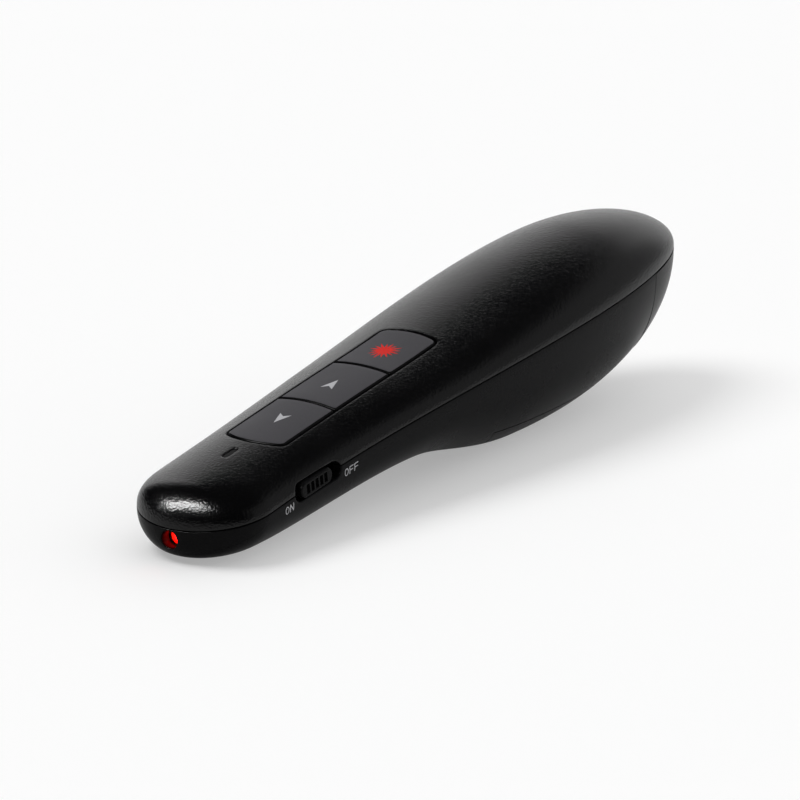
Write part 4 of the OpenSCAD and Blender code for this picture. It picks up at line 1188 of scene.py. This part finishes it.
floor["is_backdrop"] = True


def lamp(name, kind, way, strength):
    """A lamp that shines on the remote from a direction."""
    light = bpy.data.objects.new(name, bpy.data.lights.new(name, kind))
    light.data.energy = strength
    light.rotation_euler = Vector(way).to_track_quat("Z", "Y").to_euler()
    bpy.context.scene.collection.objects.link(light)
    return light


def aim(azimuth, elevation):
    """Direction from two angles in degrees: round from the nose, and up from the floor."""
    a, e = np.radians(azimuth), np.radians(elevation)
    return np.cos(e) * np.cos(a), np.cos(e) * np.sin(a), np.sin(e)


# Each soft lamp has a direction, a strength and a spread in degrees.
SOFT_LAMPS = (("key_light", aim(-68, 57), 1.55, 36), ("back_light", aim(168, 50), 1.88, 106))
for name, way, strength, spread in SOFT_LAMPS:
    soft = lamp(name, "SUN", way, strength)
    soft.data.angle = np.radians(spread)
    soft.visible_glossy = False

# The lamp at the nose is a small rectangle, in metres, turned in its own plane.
GLINT_WAY, GLINT_FAR, GLINT_POWER, GLINT_TURN = aim(-22, 43), 0.045, 0.087, 31
GLINT_WIDE, GLINT_HIGH = 0.0506, 0.01125
NOSE = Vector((0.066, 0, 0.009))
glint = lamp("strip_light", "AREA", GLINT_WAY, GLINT_POWER)
glint.rotation_euler.rotate_axis("Z", np.radians(GLINT_TURN))
glint.data.shape, glint.data.size, glint.data.size_y = "RECTANGLE", GLINT_WIDE, GLINT_HIGH
glint.location = NOSE + GLINT_FAR * Vector(GLINT_WAY)
glint.visible_camera = glint.visible_diffuse = False

# Each pale panel of the surround has an azimuth, a half width and a top in degrees, and a strength.
SKY_PANELS = ((-152, 32, 36, 0.95), (130, 40, 45, 0.38))
SIDE_FADE, TOP_FADE = 7, 6
surround = bpy.data.worlds.new("surround")
surround.use_nodes = True
bpy.context.scene.world = surround
sky = surround.node_tree
ground = sky.nodes["Background"]
fill(ground, {"Color": (1, 1, 1, 1)})
place, total = own_nodes(sky, "ShaderNodeTexCoord", "ShaderNodeMath")
total.operation = "ADD"
for socket, (azimuth, half, top, strength) in enumerate(SKY_PANELS):
    turn, split, round_z, away, beside, below, panel = own_nodes(
        sky, "ShaderNodeMapping", "ShaderNodeSeparateXYZ", "ShaderNodeMath", "ShaderNodeMath",
        "ShaderNodeMapRange", "ShaderNodeMapRange", "ShaderNodeMath")
    round_z.operation, away.operation, panel.operation = "ARCTAN2", "ABSOLUTE", "MULTIPLY"
    beside.interpolation_type = below.interpolation_type = "SMOOTHSTEP"
    fill(turn, {"Rotation": (0, 0, np.radians(-azimuth))})
    fill(beside, {"From Min": np.radians(half - SIDE_FADE), "From Max": np.radians(half + SIDE_FADE),
                  "To Min": strength, "To Max": 0})
    fill(below, {"From Min": np.sin(np.radians(top - TOP_FADE)),
                 "From Max": np.sin(np.radians(top + TOP_FADE)), "To Min": 1, "To Max": 0})
    wire(sky, (place, "Generated", turn, "Vector"), (turn, "Vector", split, "Vector"),
         (split, "Y", round_z, 0), (split, "X", round_z, 1), (round_z, "Value", away, 0),
         (away, "Value", beside, "Value"), (split, "Z", below, "Value"),
         (beside, "Result", panel, 0), (below, "Result", panel, 1), (panel, "Value", total, socket))
wire(sky, (total, "Value", ground, "Strength"))

LENS, SENSOR = 270, 36
EYE, LOOK = (0.7909, 0.5660, 0.31005), (-0.7750, -0.5591, -0.2948)
camera = bpy.data.objects.new("camera", bpy.data.cameras.new("camera"))
camera.data.lens, camera.data.sensor_width = LENS, SENSOR
camera.location = EYE
camera.rotation_euler = Vector(LOOK).to_track_quat("-Z", "Y").to_euler()
bpy.context.scene.collection.objects.link(camera)
bpy.context.scene.camera = camera
bpy.context.scene.view_settings.view_transform = "Standard"

low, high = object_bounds()
